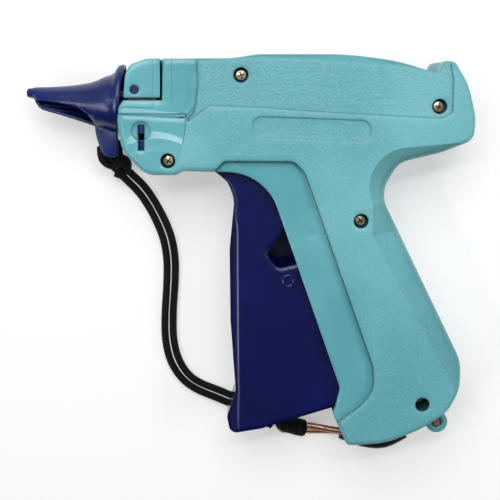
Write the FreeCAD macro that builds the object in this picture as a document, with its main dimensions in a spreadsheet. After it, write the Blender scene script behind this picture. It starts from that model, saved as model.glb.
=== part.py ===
import FreeCAD, Part
import math
import os
import re
import Sketcher

# Garment tag attacher lying on its right side. +X runs from the needle to the back of the
# handle, +Y to the top of the head and +Z to the side that faces up.

os.makedirs("parts", exist_ok=True)
doc = FreeCAD.newDocument("tag_attacher")
sheet = doc.addObject("Spreadsheet::Sheet", "sizes")

SIZES = [
    # casing
    ("casing_length", 127.5), ("casing_height", 142.2), ("casing_thickness", 30),
    ("cap_reach", 34.2), ("hook_drop", 8.75),
    ("wall", 2.2), ("edge_round", 2),
    ("panel_step", 0.8), ("plate_recess", 0.4), ("relief_step", 2.5), ("nose_step", 4),
    ("mouth_floor", 5.2), ("dimple_radius", 3.41), ("dimple_depth", 0.6),
    ("running_gap", 0.05), ("side_gap", 0.3), ("overrun", 20),
    ("lug_radius", 4.1), ("lug_hole_radius", 2.05), ("lug_thickness", 8), ("lug_web", 5),
    # pivots and screws
    ("pin_radius", 1.5), ("pin_head_radius", 2.5), ("pin_seat_floor", 3.2), ("boss_radius", 4),
    ("screw_radius", 1.2), ("screw_head_radius", 1.88), ("screw_head_height", 1.6),
    ("screw_drive_width", 0.5), ("screw_drive_depth", 0.8), ("screw_hole_floor", 7.5),
    ("screw_recess_radius", 2.65), ("screw_recess_depth", 5), ("deep_recess_depth", 11),
    ("screw_boss_radius", 3), ("recess_sleeve", 1.2), ("screw_tip_gap", 0.5),
    # trigger
    ("trigger_width", 18), ("trigger_plate", 2.5), ("trigger_hub_gap", 0.5),
    ("link_pin_inset", 0.2),
    # drive lever
    ("lever_thickness", 6), ("lever_hub_width", 9), ("lever_cheek", 1.6),
    ("fork_gap", 0.6), ("slot_gap", 0.35), ("spring_peg_radius", 1), ("spring_peg_height", 3.2),
    # slider and its guides
    ("slider_width", 13), ("slider_cheek", 3), ("slider_half_height", 2.9),
    ("bridge_front", 10.8), ("bridge_back", 7.2), ("slider_tail", 4.3),
    ("guide_rib", 1.6), ("rail_half_height", 1.2),
    # needle, rod and their mount
    ("rod_radius", 0.62), ("needle_radius", 1), ("needle_bore_radius", 0.7),
    ("needle_length", 36.9), ("needle_slot_width", 0.5), ("needle_bevel", 4),
    ("needle_base_radius", 2.2), ("needle_base_length", 8.4), ("needle_seat_depth", 7.4),
    ("guide_length", 11.4), ("guide_height", 7.2), ("guide_width", 13.4), ("guide_gap", 0.1),
    ("cover_pin_radius", 1.65), ("cover_step", 3.5), ("cover_wall", 1.4),
    ("plate_thickness", 0.5), ("plate_height", 2.6),
    # tag feed
    ("wheel_radius", 7), ("wheel_width", 5), ("tooth_gap_radius", 1.1), ("wheel_boss_radius", 3),
    ("pawl_width", 1.6), ("pawl_hub_radius", 2.2), ("pawl_pin_radius", 1),
    ("leaf_thickness", 0.6), ("leaf_length", 5.1), ("leaf_foot", 1.6),
    # needle lock
    ("lock_slot_width", 2.3), ("lock_slot_length", 9), ("lock_plate_width", 3.2),
    ("lock_plate_thickness", 1.5), ("lock_plate_sink", 3), ("lock_knob_width", 1.8),
    ("lock_knob_length", 2.8), ("lock_knob_sink", 1.1), ("lock_window_length", 2.3),
    ("lock_tongue_width", 1.5), ("lock_tongue_thickness", 1.6),
    # return spring
    ("spring_radius", 1.3), ("spring_wall", 0.6), ("spring_post_radius", 1.2),
    ("spring_end", 3.2),
    # cap
    ("cap_height", 22.2), ("cap_width", 20.4), ("cap_wall", 1.1), ("tab_thickness", 3),
    ("tab_hole_radius", 1.6),
    # hook and cord
    ("wire_radius", 1.25), ("sleeve_radius", 2.1), ("sleeve_end_round", 1.6),
    ("hitch_length", 7.6), ("hitch_radius", 3.6), ("hitch_floor", 0.1),
    ("cord_radius", 1.4), ("knot_radius", 4), ("knot_rise", 6.5),
]
for row, (word, value) in enumerate(SIZES, start=1):
    sheet.set("A%d" % row, word)
    sheet.set("B%d" % row, str(value))
    sheet.setAlias("B%d" % row, word)
doc.recompute()
WORDS = {word for word, value in SIZES}


def sized(text):
    return re.sub(r"\b[a-z]+(?:_[a-z]+)*\b", lambda m: "sizes." + m.group()
                  if m.group() in WORDS else m.group(), text)


def value_of(text):
    found = sheet.evalExpression(sized(text))
    return float(getattr(found, "Value", found))


def bind(thing, prop, text):
    thing.setExpression(prop, sized(text))


def across(share):
    return "(cap_reach / 2 + casing_length * %s)" % share


def along(share):
    return "(hook_drop / 2 + casing_height * %s)" % share


def spot(shares):
    return across(shares[0]), along(shares[1])


def moved(place, dx, dy):
    return "(%s + %s)" % (place[0], dx), "(%s + %s)" % (place[1], dy)


def between(a, b, share):
    return tuple("(%s + (%s - %s) * %s)" % (p, q, p, share) for p, q in zip(a, b))


def disc(name, place, radius, low, high):
    made = doc.addObject("Part::Cylinder", name)
    bind(made, "Radius", radius)
    bind(made, "Height", "(%s) - (%s)" % (high, low))
    bind(made, ".Placement.Base.x", place[0])
    bind(made, ".Placement.Base.y", place[1])
    bind(made, ".Placement.Base.z", low)
    return made


def block(name, x0, x1, y0, y1, z0, z1):
    made = doc.addObject("Part::Box", name)
    for prop, low, high in (("Length", x0, x1), ("Width", y0, y1), ("Height", z0, z1)):
        bind(made, prop, "(%s) - (%s)" % (high, low))
    for axis, low in (("x", x0), ("y", y0), ("z", z0)):
        bind(made, ".Placement.Base." + axis, low)
    return made


def fuse(name, things):
    made = doc.addObject("Part::MultiFuse", name)
    made.Shapes = things
    return made


def cut(name, base, tools):
    made = doc.addObject("Part::Cut", name)
    made.Base = base
    made.Tool = tools[0] if len(tools) == 1 else fuse(name + "_tools", tools)
    return made


def common(name, things):
    made = doc.addObject("Part::MultiCommon", name)
    made.Shapes = things
    return made


def beam(name, a, b, width, low, high):
    dx, dy = "(%s - %s)" % (b[0], a[0]), "(%s - %s)" % (b[1], a[1])
    reach = "sqrt(%s * %s + %s * %s)" % (dx, dx, dy, dy)
    made = doc.addObject("Part::Box", name)
    bind(made, "Length", reach)
    bind(made, "Width", width)
    bind(made, "Height", "(%s) - (%s)" % (high, low))
    bind(made, ".Placement.Rotation.Angle", "atan2(%s; %s)" % (dy, dx))
    bind(made, ".Placement.Base.x", "%s + %s / %s * (%s) / 2" % (a[0], dy, reach, width))
    bind(made, ".Placement.Base.y", "%s - %s / %s * (%s) / 2" % (a[1], dx, reach, width))
    bind(made, ".Placement.Base.z", low)
    return made


def bar(name, a, b, width, low, high):
    return fuse(name, [beam(name + "_run", a, b, width, low, high),
                       disc(name + "_start", a, "(%s) / 2" % width, low, high),
                       disc(name + "_end", b, "(%s) / 2" % width, low, high)])


def rod(name, x0, x1, y, z, radius):
    made = doc.addObject("Part::Cylinder", name)
    made.Placement = FreeCAD.Placement(FreeCAD.Vector(0, 0, 0),
                                       FreeCAD.Rotation(FreeCAD.Vector(0, 1, 0), 90))
    bind(made, "Radius", radius)
    bind(made, "Height", "(%s) - (%s)" % (x1, x0))
    for axis, text in (("x", x0), ("y", y), ("z", z)):
        bind(made, ".Placement.Base." + axis, text)
    return made


# A closed outline of straight runs and tangent arcs. Each row gives a corner's place as shares
# of casing_length and casing_height, and its rounding as a share of the smaller of the two.
CORNER_BASE = "min(casing_length; casing_height)"


def outline(name, table_shares, body=None):
    if body:
        sketch = body.newObject("Sketcher::SketchObject", name)
        plane = [o for o in body.Origin.OriginFeatures if o.Role == "XY_Plane"][0]
        sketch.AttachmentSupport = [(plane, "")]
        sketch.MapMode = "FlatFace"
    else:
        sketch = doc.addObject("Sketcher::SketchObject", name)
    corner_base = value_of(CORNER_BASE)
    corners = [(FreeCAD.Vector(value_of(across(x)), value_of(along(y)), 0), corner_base * r)
               for x, y, r in table_shares]
    count = len(corners)
    joints = []
    for i, (p, r) in enumerate(corners):
        u = (corners[i - 1][0] - p).normalize()
        v = (corners[(i + 1) % count][0] - p).normalize()
        half = u.getAngle(v) / 2
        inward = (u + v).normalize()
        centre = p + inward * (r / math.sin(half))
        joints.append((p + u * (r / math.tan(half)), centre - inward * r,
                       p + v * (r / math.tan(half)), r))
    shapes, clockwise = [], []
    for i in range(count):
        start, middle, end, r = joints[i]
        clockwise.append((middle - start).cross(end - middle).z < 0)
        shapes.append(Part.Arc(end, middle, start) if clockwise[i]
                      else Part.Arc(start, middle, end))
        shapes.append(Part.LineSegment(end, joints[(i + 1) % count][0]))
    ids = sketch.addGeometry(shapes, False)
    points = sketch.addGeometry([Part.Point(p) for p, r in corners], True)
    ties, formulas = [], []
    for i, (x, y, r) in enumerate(table_shares):
        arc, line, before = ids[2 * i], ids[2 * i + 1], ids[2 * i - 1]
        ties.append(Sketcher.Constraint("Tangent", arc, 1 if clockwise[i] else 2, line, 1))
        ties.append(Sketcher.Constraint("Tangent", before, 2, arc, 2 if clockwise[i] else 1))
        formulas.append((len(ties), "%s * %s" % (CORNER_BASE, r)))
        ties.append(Sketcher.Constraint("Radius", arc, joints[i][3]))
        ties.append(Sketcher.Constraint("PointOnObject", points[i], 1, line))
        ties.append(Sketcher.Constraint("PointOnObject", points[i], 1, before))
        formulas.append((len(ties), across(x)))
        ties.append(Sketcher.Constraint("DistanceX", points[i], 1, corners[i][0].x))
        formulas.append((len(ties), along(y)))
        ties.append(Sketcher.Constraint("DistanceY", points[i], 1, corners[i][0].y))
    sketch.addConstraint(ties)
    for index, text in formulas:
        sketch.setExpression("Constraints[%d]" % index, sized(text))
    return sketch


def slab(name, flat, low, high):
    made = doc.addObject("Part::Extrusion", name)
    made.Base = flat
    made.DirMode = "Custom"
    made.Dir = FreeCAD.Vector(0, 0, 1)
    made.Solid = True
    bind(made, "LengthFwd", high)
    bind(made, "LengthRev", "0 - (%s)" % low)
    return made


def grown(name, flat, amount):
    made = doc.addObject("Part::Offset2D", name)
    made.Source = flat
    bind(made, "Value", amount)
    return made


OUTLINE_SHARES = [
    (-0.463, 0.473, 0.0255), (-0.416, 0.488, 0.0283), (-0.179, 0.489, 0.1699),
    (-0.107, 0.499, 0.1699), (0.133, 0.499, 0.8493), (0.272, 0.484, 0.5662),
    (0.390, 0.452, 0.0070), (0.400, 0.483, 0.0173), (0.435, 0.482, 0.0226),
    (0.474, 0.427, 0.2039), (0.498, 0.343, 0.1412), (0.493, 0.288, 0.0368),
    (0.403, 0.257, 0.0850), (0.286, 0.232, 0.0622), (0.235, 0.155, 0.0850),
    (0.475, -0.278, 0.1255), (0.475, -0.352, 0.1255), (0.440, -0.414, 0.1098),
    (0.365, -0.459, 0.2980), (0.264, -0.495, 0.2353), (0.152, -0.502, 0.0181),
    (0.112, -0.421, 0.0181), (0.131, -0.351, 0.0340), (-0.087, 0.206, 0.1500),
    (-0.315, 0.211, 0.0178), (-0.336, 0.201, 0.0178), (-0.420, 0.201, 0.0622),
    (-0.486, 0.263, 0.0793), (-0.497, 0.333, 0.0708), (-0.495, 0.368, 0.0170),
    (-0.480, 0.388, 0.0056), (-0.475, 0.446, 0.0283)]
NOTCH_SHARES = [
    (-0.560, 0.387, 0.0028), (-0.373, 0.386, 0.0028), (-0.369, 0.560, 0.0028),
    (-0.560, 0.560, 0.0028)]
COVER_SHARES = [
    (-0.379, 0.393, 0.0014), (-0.378, 0.489, 0.0042), (-0.416, 0.488, 0.0283),
    (-0.463, 0.473, 0.0255), (-0.475, 0.446, 0.0283), (-0.480, 0.393, 0.0014)]
PANEL_SHARES = [
    (-0.277, 0.533, 0.0028), (-0.272, 0.431, 0.0168), (-0.283, 0.360, 0.0141),
    (-0.304, 0.342, 0.0056), (-0.301, 0.332, 0.0028), (-0.240, 0.373, 0.0085),
    (-0.102, 0.368, 0.0562), (0.092, 0.356, 0.1123), (0.399, 0.341, 0.0281),
    (0.432, 0.353, 0.0224), (0.432, 0.436, 0.0141), (0.410, 0.533, 0.0056)]
NOSE_SHARES = [
    (-0.568, 0.533, 0.0028), (-0.573, 0.355, 0.0028), (-0.307, 0.342, 0.0283),
    (-0.279, 0.368, 0.0283), (-0.270, 0.436, 0.0565), (-0.277, 0.534, 0.0028)]
PLATE_SHARES = [
    (-0.121, 0.348, 0.0280), (0.207, 0.337, 0.0280), (0.206, 0.284, 0.0280),
    (-0.126, 0.296, 0.0280)]
RELIEF_SHARES = [
    (-0.231, 0.210, 0.0085), (-0.201, 0.237, 0.0168), (-0.007, 0.236, 0.0329),
    (0.024, 0.209, 0.0784), (0.167, -0.148, 0.1690), (0.225, -0.292, 0.1255),
    (0.227, -0.355, 0.0784), (0.188, -0.395, 0.1412), (0.119, -0.443, 0.0056),
    (0.016, -0.513, 0.0028), (-0.330, -0.378, 0.0028), (-0.325, 0.139, 0.0028)]
MOUTH_SHARES = [
    (-0.262, 0.236, 0.0086), (-0.106, 0.236, 0.0230), (-0.049, 0.191, 0.0429),
    (0.008, 0.078, 0.0573), (0.169, -0.325, 0.0287), (0.170, -0.404, 0.0086),
    (0.115, -0.426, 0.0029), (0.018, -0.474, 0.0029), (-0.304, -0.392, 0.0029),
    (-0.288, 0.160, 0.0029)]
TRIGGER_SHARES = [
    (-0.256, 0.229, 0.0114), (-0.192, 0.182, 0.0510), (-0.173, 0.138, 0.0941),
    (-0.187, 0.007, 0.1714), (-0.185, -0.176, 0.2286), (-0.170, -0.368, 0.0715),
    (-0.196, -0.433, 0.0229), (-0.186, -0.479, 0.0229), (-0.094, -0.465, 0.0858),
    (0.152, -0.397, 0.0172), (0.160, -0.350, 0.0286), (0.120, -0.216, 0.0342),
    (0.163, -0.150, 0.0229), (0.147, -0.080, 0.0229), (0.029, -0.004, 0.0086),
    (0.003, -0.030, 0.0114), (-0.048, -0.041, 0.0200), (-0.083, -0.004, 0.0172),
    (-0.035, 0.053, 0.0114), (-0.006, 0.071, 0.0086), (-0.055, 0.206, 0.0342),
    (-0.095, 0.280, 0.0286), (-0.227, 0.285, 0.0400)]
FAR_CHEEK_SHARES = [
    (-0.100, -0.050, 0.0022), (-0.100, 0.066, 0.0022), (-0.006, 0.066, 0.0022),
    (0.027, -0.004, 0.0022), (0.020, -0.050, 0.0022)]
CHANNEL_SHARES = [
    (-0.084, 0.330, 0.0060), (-0.088, 0.135, 0.0200), (-0.142, 0.120, 0.0223),
    (-0.161, 0.000, 0.0892), (-0.160, -0.180, 0.1338), (-0.147, -0.370, 0.0335),
    (-0.150, -0.432, 0.0067), (-0.090, -0.428, 0.0335), (0.240, -0.335, 0.0067),
    (0.300, 0.020, 0.0067), (0.200, 0.330, 0.0060)]
CAP_OPENING_SHARES = [
    (-0.775, 0.387, 0.0022), (-0.690, 0.380, 0.0223), (-0.626, 0.366, 0.0279),
    (-0.590, 0.345, 0.0279), (-0.560, 0.305, 0.0112), (-0.545, 0.140, 0.0022),
    (-0.790, 0.140, 0.0022)]
CAP_TAB_SHARES = [
    (-0.510, 0.240, 0.0112), (-0.532, 0.241, 0.0201), (-0.562, 0.270, 0.0223),
    (-0.580, 0.330, 0.0112), (-0.500, 0.345, 0.0112)]
TRIGGER_PIVOT = spot((-0.168, 0.237))
LEVER_PIVOT = spot((0.0442, 0.0493))
LINK = spot((0.1289, -0.1162))
SLIDER_PIN = spot((0.2002, 0.4037))
WHEEL = spot((-0.320, 0.334))
PAWL = spot((-0.2369, 0.3569))
PAWL_TIP = spot((-0.2871, 0.3850))
COVER_PIN = spot((-0.450, 0.413))
LUG = spot((0.424, -0.459))
SLOT_TOP = spot((-0.4302, 0.3258))
SPRING_POST = spot((0.319, 0.2992))
SCREWS = [spot(p) for p in ((-0.154, 0.448), (0.395, 0.371), (0.182, 0.086), (0.366, -0.390),
                            (-0.357, 0.237))]
DEEP_SCREW = 3
AXIS_Y = along(0.4037)
FRONT_X = across(-0.4798)
MIDDLE = "(casing_thickness / 2)"
TOP = "casing_thickness"

# Half of the casing, lying on its outer face: the outline with a rounded edge, less the
# stepped zones of the outer face and the room inside.
form = doc.addObject("PartDesign::Body", "half_form")
form_sketch = outline("half_outline", OUTLINE_SHARES, form)
form_pad = form.newObject("PartDesign::Pad", "half_pad")
form_pad.Profile = form_sketch
bind(form_pad, "Length", MIDDLE)
doc.recompute()
outer_face = [i for i, f in enumerate(form_pad.Shape.Faces, start=1)
              if abs(f.CenterOfMass.z) < 1e-6][0]
form_round = form.newObject("PartDesign::Fillet", "half_round")
form_round.Base = (form_pad, ["Face%d" % outer_face])
bind(form_round, "Radius", "edge_round")
form.Tip = form_round

relief = outline("relief_outline", RELIEF_SHARES)
nose = outline("nose_outline", NOSE_SHARES)
steps = [slab("relief_pocket", relief, "0 - overrun", "relief_step"),
         slab("nose_pocket", nose, "0 - overrun", "nose_step"),
         slab("panel_pocket", outline("panel_outline", PANEL_SHARES), "0 - overrun",
              "panel_step"),
         slab("plate_pocket", outline("plate_outline", PLATE_SHARES), "0 - overrun",
              "plate_recess")]
outer = cut("half_block", form, steps)
inner_line = outline("inner_outline", OUTLINE_SHARES)
room = slab("room", grown("room_line", inner_line, "0 - wall"), "wall", "casing_thickness")
room_cut = cut("room_stepped", room, [
    slab("relief_backing", grown("relief_back_line", relief, "wall"), "0", "relief_step + wall"),
    slab("nose_backing", grown("nose_back_line", nose, "wall"), "0", "nose_step + wall")])
mouth = slab("mouth", outline("mouth_outline", MOUTH_SHARES), "mouth_floor", "casing_thickness")
GUIDE_LOW = "((casing_thickness - guide_width) / 2)"
GUIDE_HIGH = "((casing_thickness + guide_width) / 2)"
window = block("needle_window", "%s - overrun" % FRONT_X,
               "%s + guide_length + guide_gap" % FRONT_X,
               "%s - guide_height / 2 - guide_gap" % AXIS_Y,
               "%s + guide_height / 2 + guide_gap" % AXIS_Y,
               "%s - guide_gap" % GUIDE_LOW, "casing_thickness")
shell = cut("half_shell", outer, [room_cut, mouth, window])

# Ribs and bosses that both halves carry, kept inside the outer face.
CHEEK_LOW = "(casing_thickness / 2 - slider_width / 2)"
RAIL_SHARES = (-0.120, 0.2775)
RAIL_X = [across(share) for share in RAIL_SHARES]
ribs = [
    disc("trigger_boss", TRIGGER_PIVOT, "boss_radius", "0",
         "(casing_thickness - trigger_width) / 2 - trigger_hub_gap"),
    disc("lever_stop", LEVER_PIVOT, "boss_radius", "0",
         "(casing_thickness - trigger_width) / 2 - trigger_hub_gap"),
    disc("wheel_boss", WHEEL, "wheel_boss_radius", "0",
         "(casing_thickness - wheel_width) / 2 - side_gap"),
    block("rib_below", RAIL_X[0], RAIL_X[1],
          "%s - slider_half_height - side_gap - guide_rib" % AXIS_Y,
          "%s - slider_half_height - side_gap" % AXIS_Y, "0", "%s + slider_cheek" % CHEEK_LOW),
    block("rib_above", RAIL_X[0], RAIL_X[1],
          "%s + slider_half_height + side_gap" % AXIS_Y,
          "%s + slider_half_height + side_gap + guide_rib" % AXIS_Y, "0",
          "%s + slider_cheek" % CHEEK_LOW),
    block("slide_rail", RAIL_X[0], RAIL_X[1], "%s - rail_half_height" % AXIS_Y,
          "%s + rail_half_height" % AXIS_Y, "0", "%s - side_gap" % CHEEK_LOW)]
for i, place in enumerate(SCREWS):
    ribs.append(disc("screw_boss_%d" % i, place, "screw_boss_radius", "0", MIDDLE))
held_ribs = common("half_ribs", [fuse("ribs", ribs), outer])
half = fuse("half_body", [shell, held_ribs])

# Right shell, with pins for the pawl, the leaf and the spring, and its half of the lug.
right_extras = [
    disc("pawl_boss", PAWL, "pawl_hub_radius", "wall",
         "(casing_thickness - wheel_width) / 2 - side_gap"),
    disc("pawl_pin", PAWL, "pawl_pin_radius", "wall", "(casing_thickness + wheel_width) / 2"),
    disc("spring_post", SPRING_POST, "spring_post_radius", "wall",
         "casing_thickness / 2 + lever_thickness / 2 + spring_peg_height"),
    block("leaf_post", "%s - wheel_width / 2" % WHEEL[0],
          "%s - wheel_width / 2 + leaf_foot" % WHEEL[0],
          "%s - wheel_radius - side_gap - leaf_thickness - leaf_foot" % WHEEL[1],
          "%s - wheel_radius - side_gap - leaf_thickness" % WHEEL[1],
          "wall", "(casing_thickness + wheel_width) / 2")]


LUG_ROOT = spot((0.400, -0.415))
LUG_WEB_SHARE = 0.25


def lug_half(name, low, high):
    return fuse(name, [disc(name + "_eye", LUG, "lug_radius", low, high),
                       bar(name + "_web", between(LUG, LUG_ROOT, LUG_WEB_SHARE), LUG_ROOT,
                           "lug_web", low, high)])


right_whole = fuse("right_whole", [half] + right_extras
                   + [lug_half("lug_right", "(casing_thickness - lug_thickness) / 2", MIDDLE)])
PIN_HOLE = "pin_radius + running_gap"
right_holes = [disc("right_hole_%d" % i, place, PIN_HOLE, "pin_seat_floor", TOP)
               for i, place in enumerate((TRIGGER_PIVOT, WHEEL))]
right_holes += [disc("right_thread_%d" % i, place, "screw_radius + running_gap",
                     "screw_hole_floor", TOP) for i, place in enumerate(SCREWS)]
right_holes.append(disc("right_lug_hole", LUG, "lug_hole_radius", "0", TOP))
casing_right = cut("casing_right", right_whole, right_holes)

# Left shell: the mirrored half with the notch for the front cover, sunk screw holes, thumb
# dimple and lock slot.
left_half = doc.addObject("Part::Mirroring", "left_half")
left_half.Source = half
left_half.Normal = FreeCAD.Vector(0, 0, 1)
bind(left_half, "Base.z", MIDDLE)
left_block = doc.addObject("Part::Mirroring", "left_block")
left_block.Source = outer
left_block.Normal = FreeCAD.Vector(0, 0, 1)
bind(left_block, "Base.z", MIDDLE)


def recess_depth(i):
    return "deep_recess_depth" if i == DEEP_SCREW else "screw_recess_depth"


sleeves = [disc("recess_sleeve_%d" % i, place, "screw_recess_radius + recess_sleeve",
                "casing_thickness - %s - recess_sleeve" % recess_depth(i), TOP)
           for i, place in enumerate(SCREWS)]
left_whole = fuse("left_whole", [
    left_half, common("left_sleeves", [fuse("sleeves", sleeves), left_block]),
    lug_half("lug_left", MIDDLE, "(casing_thickness + lug_thickness) / 2"),
    disc("lever_boss", LEVER_PIVOT, "boss_radius",
         "(casing_thickness + lever_hub_width) / 2 + trigger_hub_gap",
         "casing_thickness - relief_step - wall / 2")])
DIMPLE_DROP_SHARE = 0.75
left_holes = [disc("left_hole_%d" % i, place, PIN_HOLE, MIDDLE,
                   "casing_thickness - pin_seat_floor")
              for i, place in enumerate((TRIGGER_PIVOT, LEVER_PIVOT, WHEEL))]
for i, place in enumerate(SCREWS):
    left_holes.append(disc("left_shank_%d" % i, place, "screw_radius + running_gap", "0",
                           "casing_thickness + overrun"))
    left_holes.append(disc("left_recess_%d" % i, place, "screw_recess_radius",
                           "casing_thickness - %s" % recess_depth(i),
                           "casing_thickness + overrun"))
left_holes += [
    disc("left_lug_hole", LUG, "lug_hole_radius", "0", "casing_thickness"),
    slab("cover_notch", outline("notch_outline", NOTCH_SHARES), "0", "casing_thickness + overrun"),
    disc("thumb_dimple", moved(SLOT_TOP, "0", "0 - lock_knob_length * %s" % DIMPLE_DROP_SHARE),
         "dimple_radius", "casing_thickness - dimple_depth", "casing_thickness + overrun"),
    block("lock_slot", "%s - lock_slot_width / 2" % SLOT_TOP[0],
          "%s + lock_slot_width / 2" % SLOT_TOP[0], "%s - lock_slot_length" % SLOT_TOP[1],
          SLOT_TOP[1], MIDDLE, "casing_thickness + overrun")]
casing_left = cut("casing_left", left_whole, left_holes)

PLATE_Y = along(0.3915)
cover_line = outline("cover_outline", COVER_SHARES)
COVER_TOP = "(casing_thickness - cover_step)"
front_cover = cut("front_cover", slab("cover_block", cover_line, MIDDLE, COVER_TOP), [
    slab("cover_room", grown("cover_room_line", cover_line, "0 - cover_wall"), "0",
         "%s + side_gap" % GUIDE_HIGH),
    block("cover_window", "%s - overrun" % FRONT_X, "%s + guide_length + overrun" % FRONT_X,
          "%s - guide_height / 2 - side_gap" % AXIS_Y,
          "%s + guide_height / 2 + side_gap" % AXIS_Y, "0", "%s + side_gap" % GUIDE_HIGH),
    block("cover_slit", "%s + cover_wall + side_gap" % FRONT_X,
          "%s + guide_length" % FRONT_X, "%s - plate_height" % PLATE_Y, AXIS_Y, "0",
          "%s + plate_height" % GUIDE_HIGH),
    disc("cover_bore", COVER_PIN, "cover_pin_radius + running_gap", "0", TOP)])

CROSS_SHARE = 0.7
HALF_CROSS = "screw_head_radius * %s" % CROSS_SHARE
casing_screws = fuse("casing_screws", [
    cut("screw_%d" % i, fuse("screw_blank_%d" % i, [
        disc("screw_shank_%d" % i, place, "screw_radius", "screw_hole_floor + screw_tip_gap",
             "casing_thickness - %s" % recess_depth(i)),
        disc("screw_head_%d" % i, place, "screw_head_radius",
             "casing_thickness - %s" % recess_depth(i),
             "casing_thickness - %s + screw_head_height" % recess_depth(i))]),
        [block("screw_drive_a_%d" % i, "%s - %s" % (place[0], HALF_CROSS),
               "%s + %s" % (place[0], HALF_CROSS), "%s - screw_drive_width / 2" % place[1],
               "%s + screw_drive_width / 2" % place[1],
               "casing_thickness - %s + screw_head_height - screw_drive_depth" % recess_depth(i),
               "casing_thickness"),
         block("screw_drive_b_%d" % i, "%s - screw_drive_width / 2" % place[0],
               "%s + screw_drive_width / 2" % place[0],
               "%s - %s" % (place[1], HALF_CROSS), "%s + %s" % (place[1], HALF_CROSS),
               "casing_thickness - %s + screw_head_height - screw_drive_depth" % recess_depth(i),
               "casing_thickness")])
    for i, place in enumerate(SCREWS)])

trigger_pivot_pin = disc("trigger_pivot_pin", TRIGGER_PIVOT, "pin_radius", "pin_seat_floor",
                         "casing_thickness - pin_seat_floor")
PIN_FOOT = "((casing_thickness - trigger_width) / 2 + trigger_plate + trigger_hub_gap)"
lever_pivot_pin = fuse("lever_pivot_pin", [
    disc("lever_pin_shank", LEVER_PIVOT, "pin_radius", PIN_FOOT,
         "casing_thickness - pin_seat_floor"),
    disc("lever_pin_head", LEVER_PIVOT, "pin_head_radius", PIN_FOOT,
         "(casing_thickness - lever_hub_width) / 2 - side_gap")])
wheel_axle = disc("wheel_axle", WHEEL, "pin_radius", "pin_seat_floor",
                  "casing_thickness - pin_seat_floor - nose_step")

# Needle and its mount, on the axis of the slider.
tag_guide = cut("tag_guide", fuse("guide_blank", [
    block("guide_block", FRONT_X, "%s + guide_length" % FRONT_X,
          "%s - guide_height / 2" % AXIS_Y, "%s + guide_height / 2" % AXIS_Y,
          GUIDE_LOW, GUIDE_HIGH),
    disc("cover_pin", COVER_PIN, "cover_pin_radius", MIDDLE, "%s - side_gap" % COVER_TOP)]),
    [rod("guide_bore", "%s - overrun" % FRONT_X, "%s + guide_length + overrun" % FRONT_X,
         AXIS_Y, MIDDLE, "needle_base_radius + running_gap")])
guide_plate = block("guide_plate", "%s + cover_wall" % FRONT_X,
                    "%s + guide_length" % FRONT_X,
                    "%s - plate_thickness" % PLATE_Y, PLATE_Y, GUIDE_HIGH,
                    "%s + plate_height - side_gap" % GUIDE_HIGH)
needle_base = cut("needle_base", rod("base_blank", FRONT_X, "%s + needle_base_length" % FRONT_X,
                                     AXIS_Y, MIDDLE, "needle_base_radius"),
                  [rod("base_bore", "%s - overrun" % FRONT_X, "%s + needle_seat_depth" % FRONT_X,
                       AXIS_Y, MIDDLE, "needle_radius + running_gap"),
                   rod("base_throat", "%s - overrun" % FRONT_X,
                       "%s + needle_base_length + overrun" % FRONT_X, AXIS_Y, MIDDLE,
                       "needle_bore_radius")])
BEVEL_END_SHARE = 0.0625
NEEDLE_BACK = "(%s + needle_seat_depth - side_gap)" % FRONT_X
NEEDLE_TIP = "(%s - needle_length)" % NEEDLE_BACK
BEVEL_END = "needle_bevel * %s" % BEVEL_END_SHARE
bevel = doc.addObject("Part::Wedge", "needle_bevel")
for prop, text in (("Xmin", "0"), ("Xmax", "needle_bevel"), ("Ymin", "0"),
                   ("Ymax", "needle_radius * 2"), ("Zmin", "0 - needle_radius"),
                   ("Zmax", "needle_radius"), ("X2min", "0"), ("X2max", BEVEL_END),
                   ("Z2min", "0 - needle_radius"), ("Z2max", "needle_radius")):
    bind(bevel, prop, text)
for axis, text in (("x", NEEDLE_TIP + " - " + BEVEL_END), ("y", AXIS_Y + " - needle_radius"),
                   ("z", MIDDLE)):
    bind(bevel, ".Placement.Base." + axis, text)
needle = cut("needle", rod("needle_blank", NEEDLE_TIP, NEEDLE_BACK, AXIS_Y, MIDDLE,
                           "needle_radius"),
             [rod("needle_bore", "%s - overrun" % NEEDLE_TIP, "%s + overrun" % NEEDLE_BACK,
                  AXIS_Y, MIDDLE, "needle_bore_radius"),
              block("needle_slot", "%s - overrun" % NEEDLE_TIP, "%s - side_gap" % FRONT_X,
                    "%s - needle_slot_width / 2" % AXIS_Y, "%s + needle_slot_width / 2" % AXIS_Y,
                    MIDDLE, TOP), bevel])

# Trigger: two cheeks joined by a front web, a foot web and a hub.
TRIGGER_LOW = "((casing_thickness - trigger_width) / 2)"
TRIGGER_HIGH = "((casing_thickness + trigger_width) / 2)"
grip = doc.addObject("PartDesign::Body", "trigger_form")
grip_sketch = outline("trigger_outline", TRIGGER_SHARES, grip)
grip_pad = grip.newObject("PartDesign::Pad", "trigger_pad")
grip_pad.Profile = grip_sketch
bind(grip_pad, "Length", "trigger_width")
grip.Tip = grip_pad
bind(grip, ".Placement.Base.z", TRIGGER_LOW)
far_cheek = slab("far_cheek", outline("far_cheek_outline", FAR_CHEEK_SHARES), TRIGGER_LOW,
                 "%s + trigger_plate" % TRIGGER_LOW)
trigger = cut("trigger", fuse("trigger_whole", [grip, far_cheek]), [
    slab("trigger_channel", outline("channel_outline", CHANNEL_SHARES),
         "%s + trigger_plate" % TRIGGER_LOW, "%s - trigger_plate" % TRIGGER_HIGH),
    disc("trigger_bore", TRIGGER_PIVOT, PIN_HOLE, "0", TOP),
    disc("link_bore", LINK, PIN_HOLE, "0", TOP)])
link_pin = disc("link_pin", LINK, "pin_radius", "%s + link_pin_inset" % TRIGGER_LOW,
                "%s - link_pin_inset" % TRIGGER_HIGH)

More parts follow.
